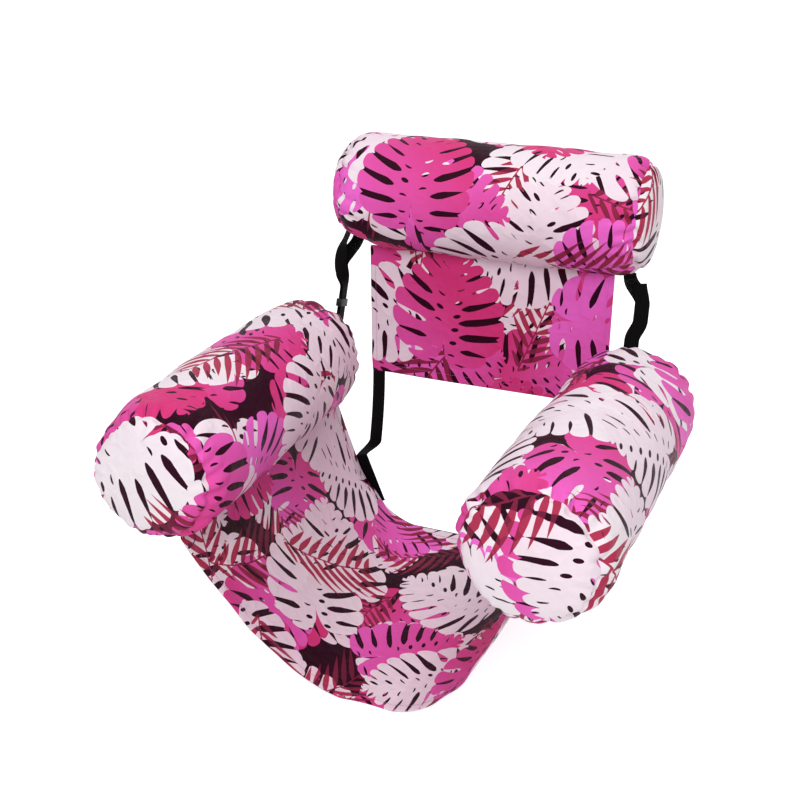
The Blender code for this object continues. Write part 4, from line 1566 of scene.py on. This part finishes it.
@dataclass(frozen=True)
class SeatShape:
    """Sizes of the slung seat cloth, as the solids have them but for its rear edge's sway to the left.

    Args:
        arms: Where the armrests lie.
        front_inset: Distance of the front corners from the armrests' front ends.
        tail: Distance of the rear corners behind the armrests' rear ends.
        bottom_front: Place of the front edge's lowest point from front to rear.
        bottom_rear: The same for the rear edge.
        front_curve: Power of the front edge's climb to the sides.
        rear_curve: The same for the rear edge.
        front_sweep: Power of the front edge's sweep from its lowest point to its corners.
        rear_sweep: The same for the rear edge.
        sink: Depth by which the lowest part is cut flat.
        cloth: Thickness of the cloth.
        webbing: Thickness of the rear webbing.
        gap: Distance between two layers.
        hem: Length of the front hem.
        band: Distance of the rear webbing's front edge from the cloth's rear edge.
        overhang: How far the webbing's corner tabs stand behind the cloth.
        fold: Depth of the soft folds at the sides.
        fold_waves: Number of these folds.
        fold_skew: Their change from front to rear, in waves.
        fold_start: Place across the seat at which they begin.
        slope: Share of the depth over which the cloth climbs over its hem and its webbing.
        sway: How far the middle of the rear edge hangs to the left.
    """

    arms: ArmPlace = ArmPlace()
    front_inset: float = 0.040
    tail: float = 0.035
    bottom_front: float = -0.256
    bottom_rear: float = 0.258
    front_curve: float = 2.25
    rear_curve: float = 3.5
    front_sweep: float = 2.0
    rear_sweep: float = 6.0
    sink: float = 0.0055
    cloth: float = CLOTH_THICKNESS
    webbing: float = WEBBING_THICKNESS
    gap: float = 0.0003
    hem: float = 0.018
    band: float = 0.024
    overhang: float = 0.001
    fold: float = 0.003
    fold_waves: float = 2.5
    fold_skew: float = 0.6
    fold_start: float = 0.35
    slope: float = 0.02
    sway: float = 0.034

    def front(self) -> float:
        """Distance of the front corners from the armrest's middle."""
        return -(self.arms.length / 2 - self.front_inset)

    def rear(self) -> float:
        """Distance of the rear corners from the armrest's middle."""
        return self.arms.length / 2 + self.tail

    def depth(self) -> float:
        """Length of the cloth along an armrest."""
        return self.rear() - self.front()

    def rise(self, along: float) -> float:
        """Lift of the cloth over its hem and its rear webbing."""
        hem = self.hem / self.depth()
        band = 1 - self.band / self.depth()
        if along <= hem + self.slope:
            return (self.cloth + self.gap) * (1 - float(ease(np.array((along - hem) / self.slope))))
        return (self.webbing + self.gap) * float(ease(np.array((along - band + self.slope) / self.slope)))

    def points(self, across: np.ndarray, along: float) -> np.ndarray:
        """Points of the cloth's middle on one line across the seat.

        Args:
            across: Places from left, -1, to right, 1.
            along: Place from the front, 0, to the rear, 1.

        Returns:
            One point for each place.
        """
        share = np.abs(across)
        side = np.where(across >= 0, 1.0, -1.0)
        edge = self.arms.hinge_point(Side.RIGHT, np.array(self.front() + self.depth() * along))
        bottom = self.bottom_front + (self.bottom_rear - self.bottom_front) * along
        curve = self.front_curve + (self.rear_curve - self.front_curve) * along
        sweep = self.front_sweep + (self.rear_sweep - self.front_sweep) * along
        base = self.cloth / 2 + self.rise(along) * (1 - share ** self.rear_sweep)
        flat = self.sink / edge[2]
        climb = np.maximum(share ** curve - flat, 0.0) / (1 - flat)
        reach = np.clip((share - self.fold_start) / (1 - self.fold_start), 0.0, 1.0)
        fold = self.fold * np.sin(math.pi * reach) ** 2 * np.sin(
            2 * math.pi * (self.fold_waves * reach + self.fold_skew * along))
        x = side * (edge[0] * share + fold) - self.sway * along ** 2 * (1 - share ** 2)
        y = bottom + (edge[1] - bottom) * share ** sweep
        return np.stack([x, y, base + (edge[2] - base) * climb], axis=-1)

    def grid(self, rows: Sequence[float], columns: int) -> tuple[np.ndarray, np.ndarray]:
        """Grid of points spaced evenly across the cloth.

        Args:
            rows: Places along the seat.
            columns: Number of points across it.

        Returns:
            Points, and cloth coordinates measured from the middle line.
        """
        dense = np.linspace(-1.0, 1.0, 1201)
        points, cloth = [], []
        for along in rows:
            line = self.points(dense, along)
            lengths = line_lengths(line)
            even = np.linspace(0.0, lengths[-1], columns)
            points.append(read_at(even, lengths, line))
            cloth.append(np.stack([even - lengths[-1] / 2, np.full(columns, along * self.depth())], axis=1))
        return np.array(points), np.array(cloth)


@dataclass
class Seat:
    """The slung seat: its cloth, front hem, rear webbing and stitches.

    Args:
        shape: Form of its cloth.
        columns: Points across the cloth.
        rows: Points from front to rear.
        shift: Place in the print at which it is cut.
        hem_shift: Place in the print of its hem.
        tab_lift: Height of a corner tab's foot above the seam.
        tab_height: Height of the tab above its foot.
        tab_rows: Points up the tab.
        seam_inset: Distance from the hem's and the webbing's inner edge to their stitches.
        gather: Height of the waves in the cut beside the side seams.
        gather_spread: Distance over which they fade.
        gather_pitch: Length of one wave.
        slack: Height of the slow unevenness of the cut.
        unevenness: Height of the small ripples that the simulation starts from.
        repeat: Length after which a ripple repeats.
        reach: Furthest that the cloth may move.
        held: Share of it that the side seams take away beside them.
        held_spread: Distance over which this fades.
        creases: Cloth axis, place on it and height of each pressed ridge.
        body: Body that carries it.
    """

    shape: SeatShape = SeatShape()
    columns: int = 141
    rows: int = 88
    shift: tuple[float, float] = (1.35, 0.29)
    hem_shift: tuple[float, float] = (0.31, 0.18)
    tab_lift: float = 0.003
    tab_height: float = 0.022
    tab_rows: int = 8
    seam_inset: float = 0.003
    gather: float = 0.0030
    gather_spread: float = 0.035
    gather_pitch: float = 0.026
    slack: float = 0.0016
    unevenness: float = 0.0012
    repeat: float = 0.6
    reach: float = 0.008
    held: float = 0.7
    held_spread: float = 0.060
    creases: tuple[tuple[int, float, float], ...] = (
        (0, 0.055, 0.0016), (0, -0.21, 0.0012), (1, 0.30, -0.0012))
    body: Body = Body.SEAT

    def row_places(self) -> np.ndarray:
        """Places of the grid's rows, from front to rear."""
        return np.linspace(0.0, 1.0, self.rows)

    def job(self) -> ClothJob:
        """The seat cloth as a job for the simulation."""
        start, cloth = self.shape.grid(self.row_places(), self.columns)
        out = surface_normals(start, False)
        edge = np.minimum(cloth[..., 0] - cloth[:, :1, 0], cloth[:, -1:, 0] - cloth[..., 0])
        near = np.exp(-(edge / self.gather_spread) ** 2)
        waves = np.sin(2 * math.pi * cloth[..., 1] / self.gather_pitch + 1.3 * np.sin(9 * cloth[..., 1]))
        slack = ripple(cloth[..., 0] * 0.8 + cloth[..., 1], 41, (3, 5, 8), self.repeat)
        cut = start * 1.004 + out * (self.gather * near * waves + self.slack * slack)[..., None]
        seeds = ripple(cloth[..., 1] + 0.3 * cloth[..., 0], 43, (9, 14, 21), self.repeat)
        seeds = seeds * self.unevenness * near
        moved = start + out * (seeds * np.minimum(edge / 0.01, 1.0))[..., None]
        pins = np.zeros(start.shape[:2])
        pins[:, [0, -1]] = 1.0
        pins[-4:] = 1.0
        pins[:3] = 0.5
        reach = self.reach * (1 - self.held * np.exp(-(edge / self.held_spread) ** 2))
        return ClothJob("seat_sling_cloth", moved, cut, pins, reach, gravity=1.0)

    def build(self, grid: np.ndarray, finishes: Finishes) -> None:
        """Make the seat's pieces on the settled cloth.

        Args:
            grid: Settled points of the cloth's middle.
            finishes: Materials.
        """
        shape = self.shape
        _, cloth = shape.grid(self.row_places(), self.columns)
        grid = pressed(grid, cloth, self.creases)
        lowest = shape.cloth / 2 + np.array([shape.rise(place) for place in self.row_places()])
        grid[..., 2] = np.maximum(grid[..., 2], lowest[:, None])
        piece = add_sheet("seat_sling", grid, cloth + np.array(self.shift),
                          [finishes.cloth, finishes.reverse], self.body)
        hem = self.add_hem(grid, cloth, finishes)
        webbing = self.add_webbing(grid, finishes)
        threads = self.add_threads(grid, finishes)
        lengths = [line_lengths(row)[-1] for row in grid]
        float(np.mean(lengths)) * shape.depth()

    def add_hem(self, grid: np.ndarray, cloth: np.ndarray, finishes: Finishes) -> bpy.types.Object:
        """Turn the front edge under as a hem."""
        shape = self.shape
        last = int(round(shape.hem / shape.depth() * (self.rows - 1))) + 1
        inner = slice(2, self.columns - 2)
        edge = grid[:last, inner]
        points = edge + under_normals(edge) * (shape.cloth + shape.gap)
        return add_sheet("seat_front_hem", points, np.array(self.hem_shift) - cloth[:last, inner],
                         [finishes.reverse, finishes.cloth], self.body)

    def corner(self, side: Side) -> tuple[float, float]:
        """Place of a corner tab: the middle of its thickness across, and the height of its foot."""
        shape = self.shape
        edge = shape.arms.hinge_point(side, np.array(shape.rear() + shape.overhang))
        foot = shape.arms.hinge_point(side, np.array(shape.rear()))[2] + self.tab_lift
        return edge[0] + side.value * (shape.cloth / 2 + shape.gap + shape.webbing), float(foot)

    def band_middles(self, grid: np.ndarray) -> tuple[np.ndarray, np.ndarray]:
        """Middle line of the rear webbing with its width directions, between the two tabs' tops."""
        shape = self.shape
        front = grid_line(grid, (1 - shape.band / shape.depth()) * (self.rows - 1))
        run = unit(grid[-1] - front)
        width = run * WEBBING_WIDTH
        below = under_normals(grid)[-1] * (shape.cloth / 2 + shape.gap + shape.webbing / 2)
        middles = front + width / 2 + below
        directions = run
        for side in (Side.LEFT, Side.RIGHT):
            x, foot = self.corner(side)
            end = middles[0] if side is Side.LEFT else middles[-1]
            tab = np.tile([x, end[1], foot], (self.tab_rows, 1))
            tab[:, 2] = np.linspace(foot, foot + self.tab_height, self.tab_rows)
            facing = np.tile([0.0, 1.0, 0.0], (self.tab_rows, 1))
            if side is Side.LEFT:
                middles = np.concatenate([tab[::-1], middles[1:]])
                directions = np.concatenate([facing, directions[1:]])
            else:
                middles = np.concatenate([middles[:-1], tab])
                directions = np.concatenate([directions[:-1], facing])
        return middles, directions

    def add_webbing(self, grid: np.ndarray, finishes: Finishes) -> bpy.types.Object:
        """Sew the webbing under the rear edge, standing as a tab at each corner."""
        piece = Tape(*self.band_middles(grid)).piece("seat_rear_webbing", finishes)
        stand_in(piece, "seat_rear_webbing", self.body)
        return piece

    def add_threads(self, grid: np.ndarray, finishes: Finishes) -> list[bpy.types.Object]:
        """Stitch the hem and the rear webbing through the seat cloth."""
        shape = self.shape
        inner = slice(3, self.columns - 3)
        inside = -under_normals(grid)[:, inner]
        pieces = []
        hem = (shape.hem - self.seam_inset) / shape.depth()
        band = 1 - (shape.band - self.seam_inset) / shape.depth()
        for node, along, thread in (("seat_front_hem", hem, finishes.pink_thread),
                                    ("seat_rear_webbing", band, finishes.black_thread)):
            row = along * (self.rows - 1)
            out = inside[int(row)]
            line = grid_line(grid, row)[inner] + out * shape.cloth / 2
            piece = thread_row(f"{node}_stitches", line, out, thread)
            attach(piece, self.body.value)
            report(piece)
            pieces.append(piece)
        return pieces


# Back panel


@dataclass
class BackPanel:
    """The cloth panel that hangs under the headrest.

    Args:
        width: Width of the panel.
        height: Height of the panel.
        top: Height of its top edge.
        y: Place of its middle from front to rear.
        crease: Depth of its pressed crease.
        crease_width: Distance over which the crease fades.
        crease_share: Place of the crease from left, -1, to right, 1.
        wave: Depth of the slow wave across it.
        tuck: How far its top edge goes up into the headrest's seam.
        gather: Depth of the gathers under that seam.
        gather_spread: Distance over which they fade.
        fullness: Depth of the gathers in the cut.
        slack: Depth of the slow unevenness of the cut.
        unevenness: Depth of the small ripples that the simulation starts from.
        reach: Furthest that the cloth may move.
        cloth: Thickness of the cloth.
        columns: Points across it.
        rows: Points from top to bottom.
        shift: Place in the print at which it is cut.
        body: Body that carries it.
    """

    width: float = 0.456
    height: float = 0.249
    top: float = 0.5459
    y: float = 0.320
    crease: float = 0.004
    crease_width: float = 0.018
    crease_share: float = -0.60
    wave: float = 0.003
    tuck: float = 0.004
    gather: float = 0.0040
    gather_spread: float = 0.030
    fullness: float = 0.0020
    slack: float = 0.0030
    unevenness: float = 0.0008
    reach: float = 0.006
    cloth: float = CLOTH_THICKNESS
    columns: int = 93
    rows: int = 51
    shift: tuple[float, float] = (1.628, 0.509)
    body: Body = Body.BACKREST

    def flat(self) -> tuple[np.ndarray, np.ndarray]:
        """Cloth coordinates of the grid, and its shares down and across."""
        rows, columns = np.linspace(0, 1, self.rows), np.linspace(-1, 1, self.columns)
        down, share = np.meshgrid(rows, columns, indexing="ij")
        places = np.stack([share * self.width / 2, -down * self.height], axis=-1)
        return places, np.stack([share, down], axis=-1)

    def start_grid(self) -> np.ndarray:
        """Grid with the panel's pressed crease and slow wave."""
        flat, shares = self.flat()
        share, down = shares[..., 0], shares[..., 1]
        window = np.sin(math.pi * down)
        distance = (share - self.crease_share) * self.width / 2
        crease = self.crease * np.exp(-(distance / self.crease_width) ** 2) * (1 - down)
        forward = (crease + self.wave * np.sin(math.pi * share)) * window
        return np.stack([flat[..., 0], self.y - forward, self.top + flat[..., 1]], axis=-1)

    def job(self) -> ClothJob:
        """The panel as a job for the simulation."""
        start = self.start_grid()
        flat, shares = self.flat()
        near_top = np.exp(-(flat[..., 1] / self.gather_spread) ** 2)
        gathers = ripple(flat[..., 0], 71, (13, 19, 27), self.width)
        slack = ripple(flat[..., 0] + 0.6 * flat[..., 1], 73, (2, 3, 5), self.width)
        cut = start * np.array([1.004, 1.0, 1.0])
        cut[..., 1] += self.fullness * near_top * gathers + self.slack * slack
        seeded = start.copy()
        seeded[..., 1] += self.unevenness * near_top * gathers * np.minimum(-flat[..., 1] / 0.01, 1.0)
        pins = np.zeros(start.shape[:2])
        pins[0] = 1.0
        corner = (np.abs(shares[..., 0]) > 0.89) & (shares[..., 1] > 0.92)
        pins[corner] = 1.0
        reach = np.full(start.shape[:2], self.reach)
        return ClothJob("back_panel_cloth", seeded, cut, pins, reach, gravity=0.6)

    def build(self, grid: np.ndarray, finishes: Finishes) -> None:
        """Make the panel and its stitched edges.

        Args:
            grid: Settled points.
            finishes: Materials.
        """
        flat, _ = self.flat()
        folds = np.abs(ripple(flat[..., 0] + 0.15 * flat[..., 1], 77, (11, 16, 23), self.width)) - 0.35
        near_top = np.exp(flat[..., 1] / self.gather_spread) * np.minimum(-flat[..., 1] / 0.006, 1.0)
        grid[..., 1] -= self.gather * folds * near_top
        grid[0, :, 2] += self.tuck
        piece = add_sheet("back_panel", grid, flat + np.array(self.shift), [finishes.reverse, finishes.cloth],
                          self.body)
        for word, line in (("hem", grid[self.rows - 4, 2:-2]), ("left", grid[2:-2, 2]),
                           ("right", grid[2:-2, self.columns - 3])):
            out = np.tile([0.0, -1.0, 0.0], (len(line), 1))
            thread = thread_row(f"back_panel_{word}_stitches", line + out * self.cloth / 2, out,
                                finishes.pink_thread)
            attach(thread, self.body.value)
            report(thread)


# Straps


@dataclass
class UpperStrap:
    """Long strap, headrest strap and slider of one side.

    Args:
        side: Side of the lounger.
        start: Point on the seat's corner tab about which the back reclines.
        top: Point of the headrest's underside above it.
        twist: Shares of the length at which the webbing starts and ends its quarter turn.
        slider: Share of the length at which the slider sits.
        past: How far the long webbing goes past the headrest's underside.
        short_top: Length from the pivot to the top of the headrest strap.
        turns: Further turns of the long webbing and of the headrest strap at the headrest.
        bows: First and last share of the length and outward move of each bow of both webbings.
        link: Outward move of the headrest strap's last bow, towards its seam.
        linking: First and last share of the length of that bow.
        turning: Shares of the length at which the further turns start and end.
        straight: Length of the upright part beside the corner tab.
        below: How far the long webbing goes below the pivot.
        loop: Length of the headrest strap below the slider.
        foot_seam: Stretch from the long webbing's lower end that is sewn.
        top_seam: Stretch from the headrest strap's upper end that is sewn.
        separation: Distance between the two webbings.
        step: Distance between the points of a webbing.
    """

    side: Side
    start: np.ndarray
    top: np.ndarray
    twist: tuple[float, float]
    slider: float
    past: float
    short_top: float
    turns: tuple[float, float]
    bows: tuple[tuple[float, float, float], ...]
    link: float
    linking: tuple[float, float] = (0.84, 1.02)
    turning: tuple[float, float] = (0.90, 1.02)
    straight: float = 0.020
    below: float = 0.010
    loop: float = 0.034
    foot_seam: tuple[float, float] = (0.002, 0.018)
    top_seam: tuple[float, float] = (0.020, 0.002)
    separation: float = 0.0044
    step: float = 0.004

    def length(self) -> float:
        """Length from the pivot to the headrest."""
        return float(np.linalg.norm((self.top - self.start)[1:]))

    def upright(self) -> np.ndarray:
        """Direction of the strap beside the corner tab."""
        level = self.top - self.start
        return unit(np.array([0.0, level[1], level[2]]))

    def lean(self) -> float:
        """Sideways move for each metre above the straight part."""
        return float((self.top[0] - self.start[0]) / (self.length() - self.straight))

    def frames(self, low: float, high: float, offset: float, turn: float,
               bows: Sequence[tuple[float, float, float]]) -> tuple[np.ndarray, np.ndarray]:
        """Middles and width directions between two distances above the pivot.

        Args:
            low: Lower distance.
            high: Upper distance.
            offset: Distance square to the webbing, towards the headrest strap.
            turn: Further turn of the webbing where it meets the headrest.
            bows: Bows of this webbing.

        Returns:
            Points and directions.
        """
        distance = np.linspace(low, high, max(3, int((high - low) / self.step)))
        share = distance / self.length()
        middles = self.start + distance[:, None] * self.upright()
        middles[:, 0] += self.lean() * np.maximum(distance - self.straight, 0.0)
        for first, last, move in bows:
            middles[:, 0] += self.side.value * move * ease((share - first) / (last - first))
        run = unit(np.gradient(middles, axis=0))
        angle = math.pi / 2 * ease((share - self.twist[0]) / (self.twist[1] - self.twist[0]))
        angle = angle + turn * ease((share - self.turning[0]) / (self.turning[1] - self.turning[0]))
        sideways = np.tile([float(self.side.value), 0.0, 0.0], (len(distance), 1))
        sideways = unit(sideways - run * np.sum(sideways * run, axis=1, keepdims=True))
        forward = -self.side.value * np.cross(run, sideways)
        widths = forward * np.cos(angle)[:, None] + sideways * np.sin(angle)[:, None]
        facing = self.side.value * np.cross(run, widths)
        return middles + facing * offset, widths

    def build(self, finishes: Finishes) -> None:
        """Make both webbings and dress the slider."""
        word = self.side.word
        slider_at = self.slider * self.length()
        pieces = {
            "upper_strap": (-self.below, self.length() + self.past, 0.0, self.turns[0], self.bows),
            "headrest_strap": (slider_at - self.loop, self.short_top, self.separation, self.turns[1],
                               (*self.bows, (*self.linking, self.link))),
        }
        for label, (low, high, *course) in pieces.items():
            tape = Tape(*self.frames(low, high, *course))
            node = f"{word}_{label}"
            stand_in(tape.piece(node, finishes), node, Body.BACKREST)
            long = high - low
            far, near = self.top_seam
            span = self.foot_seam if label == "upper_strap" else (long - far, long - near)
            tape.sew(node, span, -self.side.value, finishes)
        dress_node(f"{word}_strap_slider", finishes.slider, bevel=0.0004)


@dataclass
class LowerStrap:
    """Slack strap from the back panel down to the seat's rear webbing, and along its edge.

    Args:
        side: Side of the lounger.
        panel: Back panel from which it hangs.
        seat: Shape of the seat to which it is sewn.
        overlap: Length that is sewn to the panel.
        edge: Distance from the panel's side edge.
        drop: Depth of its fall below the panel.
        forward: Forward move in its fall.
        outward: Outward move in its fall.
        bend: Length of the handles of the curve that swings forward.
        shares: Places across the seat where its run behind the edge starts, and towards which it goes.
        inward: Inward move of the run's start, and outward move of its aim.
        behind: Distance behind the seat's edge.
        below: Distance below it.
        sewn: Share of the way between the two places that it runs.
        gap: Distance from the panel's cloth.
        seam: Stretch from its upper end that is sewn.
        counts: Points in its fall, its swing and its run.
        bending: Not used; places, from front to rear and up, for a bend with the back.
    """

    side: Side
    panel: BackPanel
    seat: SeatShape = SeatShape()
    overlap: float = 0.020
    edge: float = 0.0005
    drop: float = 0.148
    forward: float = 0.012
    outward: float = 0.005
    bend: float = 0.012
    shares: tuple[float, float] = (0.84, 0.55)
    inward: float = 0.0118
    behind: float = 0.0030
    below: float = 0.0045
    sewn: float = 0.86
    gap: float = 0.0006
    seam: tuple[float, float] = (0.002, 0.018)
    counts: tuple[int, int, int] = (40, 22, 25)
    bending: tuple[tuple[float, float], tuple[float, float]] = ((0.262, 0.150), (0.321, 0.297))

    def seat_end(self, share: float, inward: float) -> np.ndarray:
        """Place of the strap behind the seat's rear edge."""
        place = self.seat.points(np.array([self.side.value * share]), 1.0)[0]
        return place + np.array([-self.side.value * inward, self.behind, -self.below])

    def frames(self) -> tuple[np.ndarray, np.ndarray]:
        """Middles and width directions from the panel down along the seat's edge."""
        side = self.side.value
        falling, swinging, running = self.counts
        x = side * (self.panel.width / 2 - WEBBING_WIDTH / 2 - self.edge)
        y = self.panel.y + self.panel.cloth / 2 + self.gap + WEBBING_THICKNESS / 2
        bottom = self.panel.top - self.panel.height
        start = np.array([x, y, bottom + self.overlap])
        hang = np.array([x + side * self.outward, y - self.forward, bottom - self.drop])
        down = np.linspace(0.0, 1.0, falling)[:, None]
        fall = start + (hang - start) * np.concatenate([down ** 2, down ** 2, down], axis=1)
        high = self.seat_end(self.shares[0], self.inward)
        low = self.seat_end(self.shares[1], -self.inward)
        run = unit(low - high)
        handle = hang + unit(fall[-1] - fall[-2]) * self.bend
        leave = high - run * self.bend / 2
        share = np.linspace(0.0, 1.0, swinging)[1:, None]
        rest = 1 - share
        swing = (hang * rest ** 3 + 3 * handle * rest ** 2 * share
                 + 3 * leave * rest * share ** 2 + high * share ** 3)
        sideways = np.array([float(side), 0.0, 0.0])
        flat = np.array([-run[2], 0.0, run[0]]) * side
        turned = sideways + (flat - sideways) * ease(share)
        last = np.linspace(0.0, self.sewn, running)[1:, None]
        middles = np.concatenate([fall, swing, high + (low - high) * last])
        widths = np.concatenate([np.tile(sideways, (len(fall), 1)), unit(turned),
                                 np.tile(unit(flat), (len(last), 1))])
        return middles, widths

    def build(self, finishes: Finishes) -> None:
        """Make the strap and sew its upper end."""
        node = f"{self.side.word}_lower_strap"
        tape = Tape(*self.frames())
        piece = tape.piece(node, finishes)
        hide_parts(node)
        x = self.side.value * self.panel.width / 2
        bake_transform(piece)
        report(piece)
        tape.sew(node, self.seam, self.side.value, finishes)


# Studio


@dataclass(frozen=True)
class Studio:
    """Floor, light and camera of the photograph's view.

    Args:
        azimuth: Angle of the camera round the lounger, from the front towards the right.
        elevation: Angle of the camera above the level.
        distance: Distance from the camera to the target.
        target: Point at which the camera and the lamps look.
        roll: Turn of the camera round its line of sight.
        lens: Focal length in millimetres.
        sensor: Width of the sensor in millimetres.
        floor_half: Half the floor's width.
        floor_drop: How far the floor lies under the lounger.
        floor_colour: Grey value of the floor.
        floor_glow: Strength of the floor's own light, as the camera sees it.
        dome: Strength of the light from all round.
        dome_seen: Extra strength of that light as the camera sees it.
    """

    azimuth: float = math.radians(22.02)
    elevation: float = math.radians(25.97)
    distance: float = 1.836
    target: tuple[float, float, float] = (-0.033, -0.022, 0.420)
    roll: float = math.radians(-0.44)
    lens: float = 51.9
    sensor: float = 36.0
    floor_half: float = 14.0
    floor_drop: float = 0.0006
    floor_colour: float = 0.90
    floor_glow: float = 0.68
    dome: float = 0.54
    dome_seen: float = 0.46

    def build(self) -> None:
        """Make the floor, the lights, the world and the camera."""
        self.add_floor()
        self.add_light("key", (0.8, -2.5, 2.8), size=1.2, power=52.0)
        self.add_light("top", (0.0, -0.8, 3.6), size=1.6, power=20.0)
        self.add_light("back", (0.2, 2.4, 2.8), size=2.0, power=12.0)
        self.add_world()
        self.add_camera()
        bpy.context.scene.view_settings.view_transform = "Standard"

    def add_floor(self) -> None:
        """Make the pale floor."""
        mesh = bpy.data.meshes.new("floor")
        half = self.floor_half
        mesh.from_pydata([(-half, -half, 0.0), (half, -half, 0.0), (half, half, 0.0), (-half, half, 0.0)],
                         [], [(0, 1, 2, 3)])
        material, graph, shader = start_material("pale floor")
        graph.fill(shader, Base_Color=(*[self.floor_colour] * 3, 1.0), Roughness=0.9, Specular_IOR_Level=0.0,
                   Emission_Color=(1.0, 1.0, 1.0, 1.0), Emission_Strength=graph.seen() * self.floor_glow)
        floor = add_piece("floor", mesh, [material])
        floor.location = (0.0, 0.0, -self.floor_drop)

    def add_light(self, name: str, place: tuple[float, float, float], size: float, power: float) -> None:
        """Add a soft square lamp that faces the lounger.

        Args:
            name: Name of the lamp.
            place: Where it stands.
            size: Width of the lamp.
            power: Its power in watts.
        """
        data = bpy.data.lights.new(name, "AREA")
        data.shape = "SQUARE"
        data.size = size
        data.energy = power
        lamp = bpy.data.objects.new(name, data)
        bpy.context.scene.collection.objects.link(lamp)
        lamp.location = place
        lamp.rotation_mode = "QUATERNION"
        lamp.rotation_quaternion = (Vector(self.target) - Vector(place)).to_track_quat("-Z", "Y")

    def add_world(self) -> None:
        """Light the scene from all round, with white behind it for the camera."""
        world = bpy.data.worlds.new("studio")
        bpy.context.scene.world = world
        world.use_nodes = True
        graph = Graph(world.node_tree)
        background = world.node_tree.nodes["Background"]
        graph.fill(background.inputs, Color=(1.0, 1.0, 1.0, 1.0),
                   Strength=graph.seen().times_plus(self.dome_seen, self.dome))

    def add_camera(self) -> None:
        """Add the camera at the photograph's view."""
        data = bpy.data.cameras.new("camera")
        data.lens = self.lens
        data.sensor_width = self.sensor
        back = Vector((math.sin(self.azimuth) * math.cos(self.elevation),
                       -math.cos(self.azimuth) * math.cos(self.elevation), math.sin(self.elevation)))
        camera = bpy.data.objects.new("camera", data)
        bpy.context.scene.collection.objects.link(camera)
        camera.location = Vector(self.target) + back * self.distance
        camera.rotation_mode = "QUATERNION"
        camera.rotation_quaternion = (-back).to_track_quat("-Z", "Y") @ Quaternion((0.0, 0.0, 1.0), self.roll)
        bpy.context.scene.camera = camera


# Whole lounger


def air_tubes() -> list[AirTube]:
    """The headrest and the two armrests."""
    arms = ArmPlace()
    tubes = []
    for side, body, shift, end_shifts, tucks in (
            (Side.LEFT, Body.LEFT_ARMREST, (0.518, 2.0), ((2.57, 1.91), (0.11, 1.67)),
             ((False, math.radians(145.0), 0.011, 0.060), (True, math.radians(150.0), 0.006, 0.050))),
            (Side.RIGHT, Body.RIGHT_ARMREST, (0.652, 0.53), ((1.28, 2.78), (1.94, 2.57)),
             ((False, math.radians(200.0), 0.006, 0.050),))):
        tubes.append(AirTube(
            name=f"{side.word}_armrest", body=body, radius=arms.radius, length=arms.length,
            middle=arms.middle(side), axis=arms.axis(side), seam=arms.seam_direction(side),
            ends=("rear", "front"), sewn=(-0.259, 0.300), shift=shift, end_shifts=end_shifts,
            seed=11 + side.value, held=0.8, tucks=tucks))
    radius, forward = 0.103, 0.030
    tubes.append(AirTube(
        name="headrest", body=Body.BACKREST, radius=radius, length=0.568,
        middle=np.array([0.0, 0.350, 0.645]), axis=np.array([-1.0, 0.0, 0.0]),
        seam=unit(np.array([0.0, -forward, -math.sqrt(radius ** 2 - forward ** 2)])),
        ends=("left", "right"), sewn=(-0.228, 0.228), shift=(0.89, 1.61),
        end_shifts=((0.56, 0.80), (1.16, 0.47)), seed=31, held=0.1,
        tucks=((True, math.radians(5.0), 0.016, 0.045), (False, math.radians(5.0), 0.005, 0.030))))
    return tubes


def straps() -> list[UpperStrap]:
    """The upper straps of both sides."""
    found = []
    for side, twist, slider, past, short_top, turns, bows, link in (
            (Side.LEFT, (0.70, 0.87), 0.60, 0.030, 0.300, (math.radians(45.0), math.radians(8.0)),
             ((0.70, 0.88, 0.016), (0.95, 1.12, -0.010)), -0.0215),
            (Side.RIGHT, (0.17, 0.33), 0.52, -0.010, 0.289, (0.0, math.radians(40.0)),
             ((0.62, 0.74, 0.011), (0.84, 0.97, -0.008)), -0.016)):
        found.append(UpperStrap(
            side=side, start=np.array([side.value * 0.275966, 0.230525, 0.281394]),
            top=np.array([side.value * 0.268, 0.323, 0.548]), twist=twist, slider=slider, past=past,
            short_top=short_top, turns=turns, bows=bows, link=link))
    return found


def main() -> None:
    """Build the studio, the finishes and every piece of the lounger."""
    logging.basicConfig(level=logging.INFO, format="%(message)s")
    Studio().build()
    finishes = Finishes()
    tubes, seat, panel = air_tubes(), Seat(), BackPanel()
    room = ClothRoom()
    for tube in tubes:
        room.add(tube.job())
    room.add(seat.job())
    room.add(panel.job())
    settled = room.run()
    for tube in tubes:
        tube.build(settled[tube.name], finishes)
    seat.build(settled["seat_sling_cloth"], finishes)
    panel.build(settled["back_panel_cloth"], finishes)
    for strap in straps():
        strap.build(finishes)
    for side in Side:
        LowerStrap(side=side, panel=panel).build(finishes)


if __name__ == "__main__":
    main()
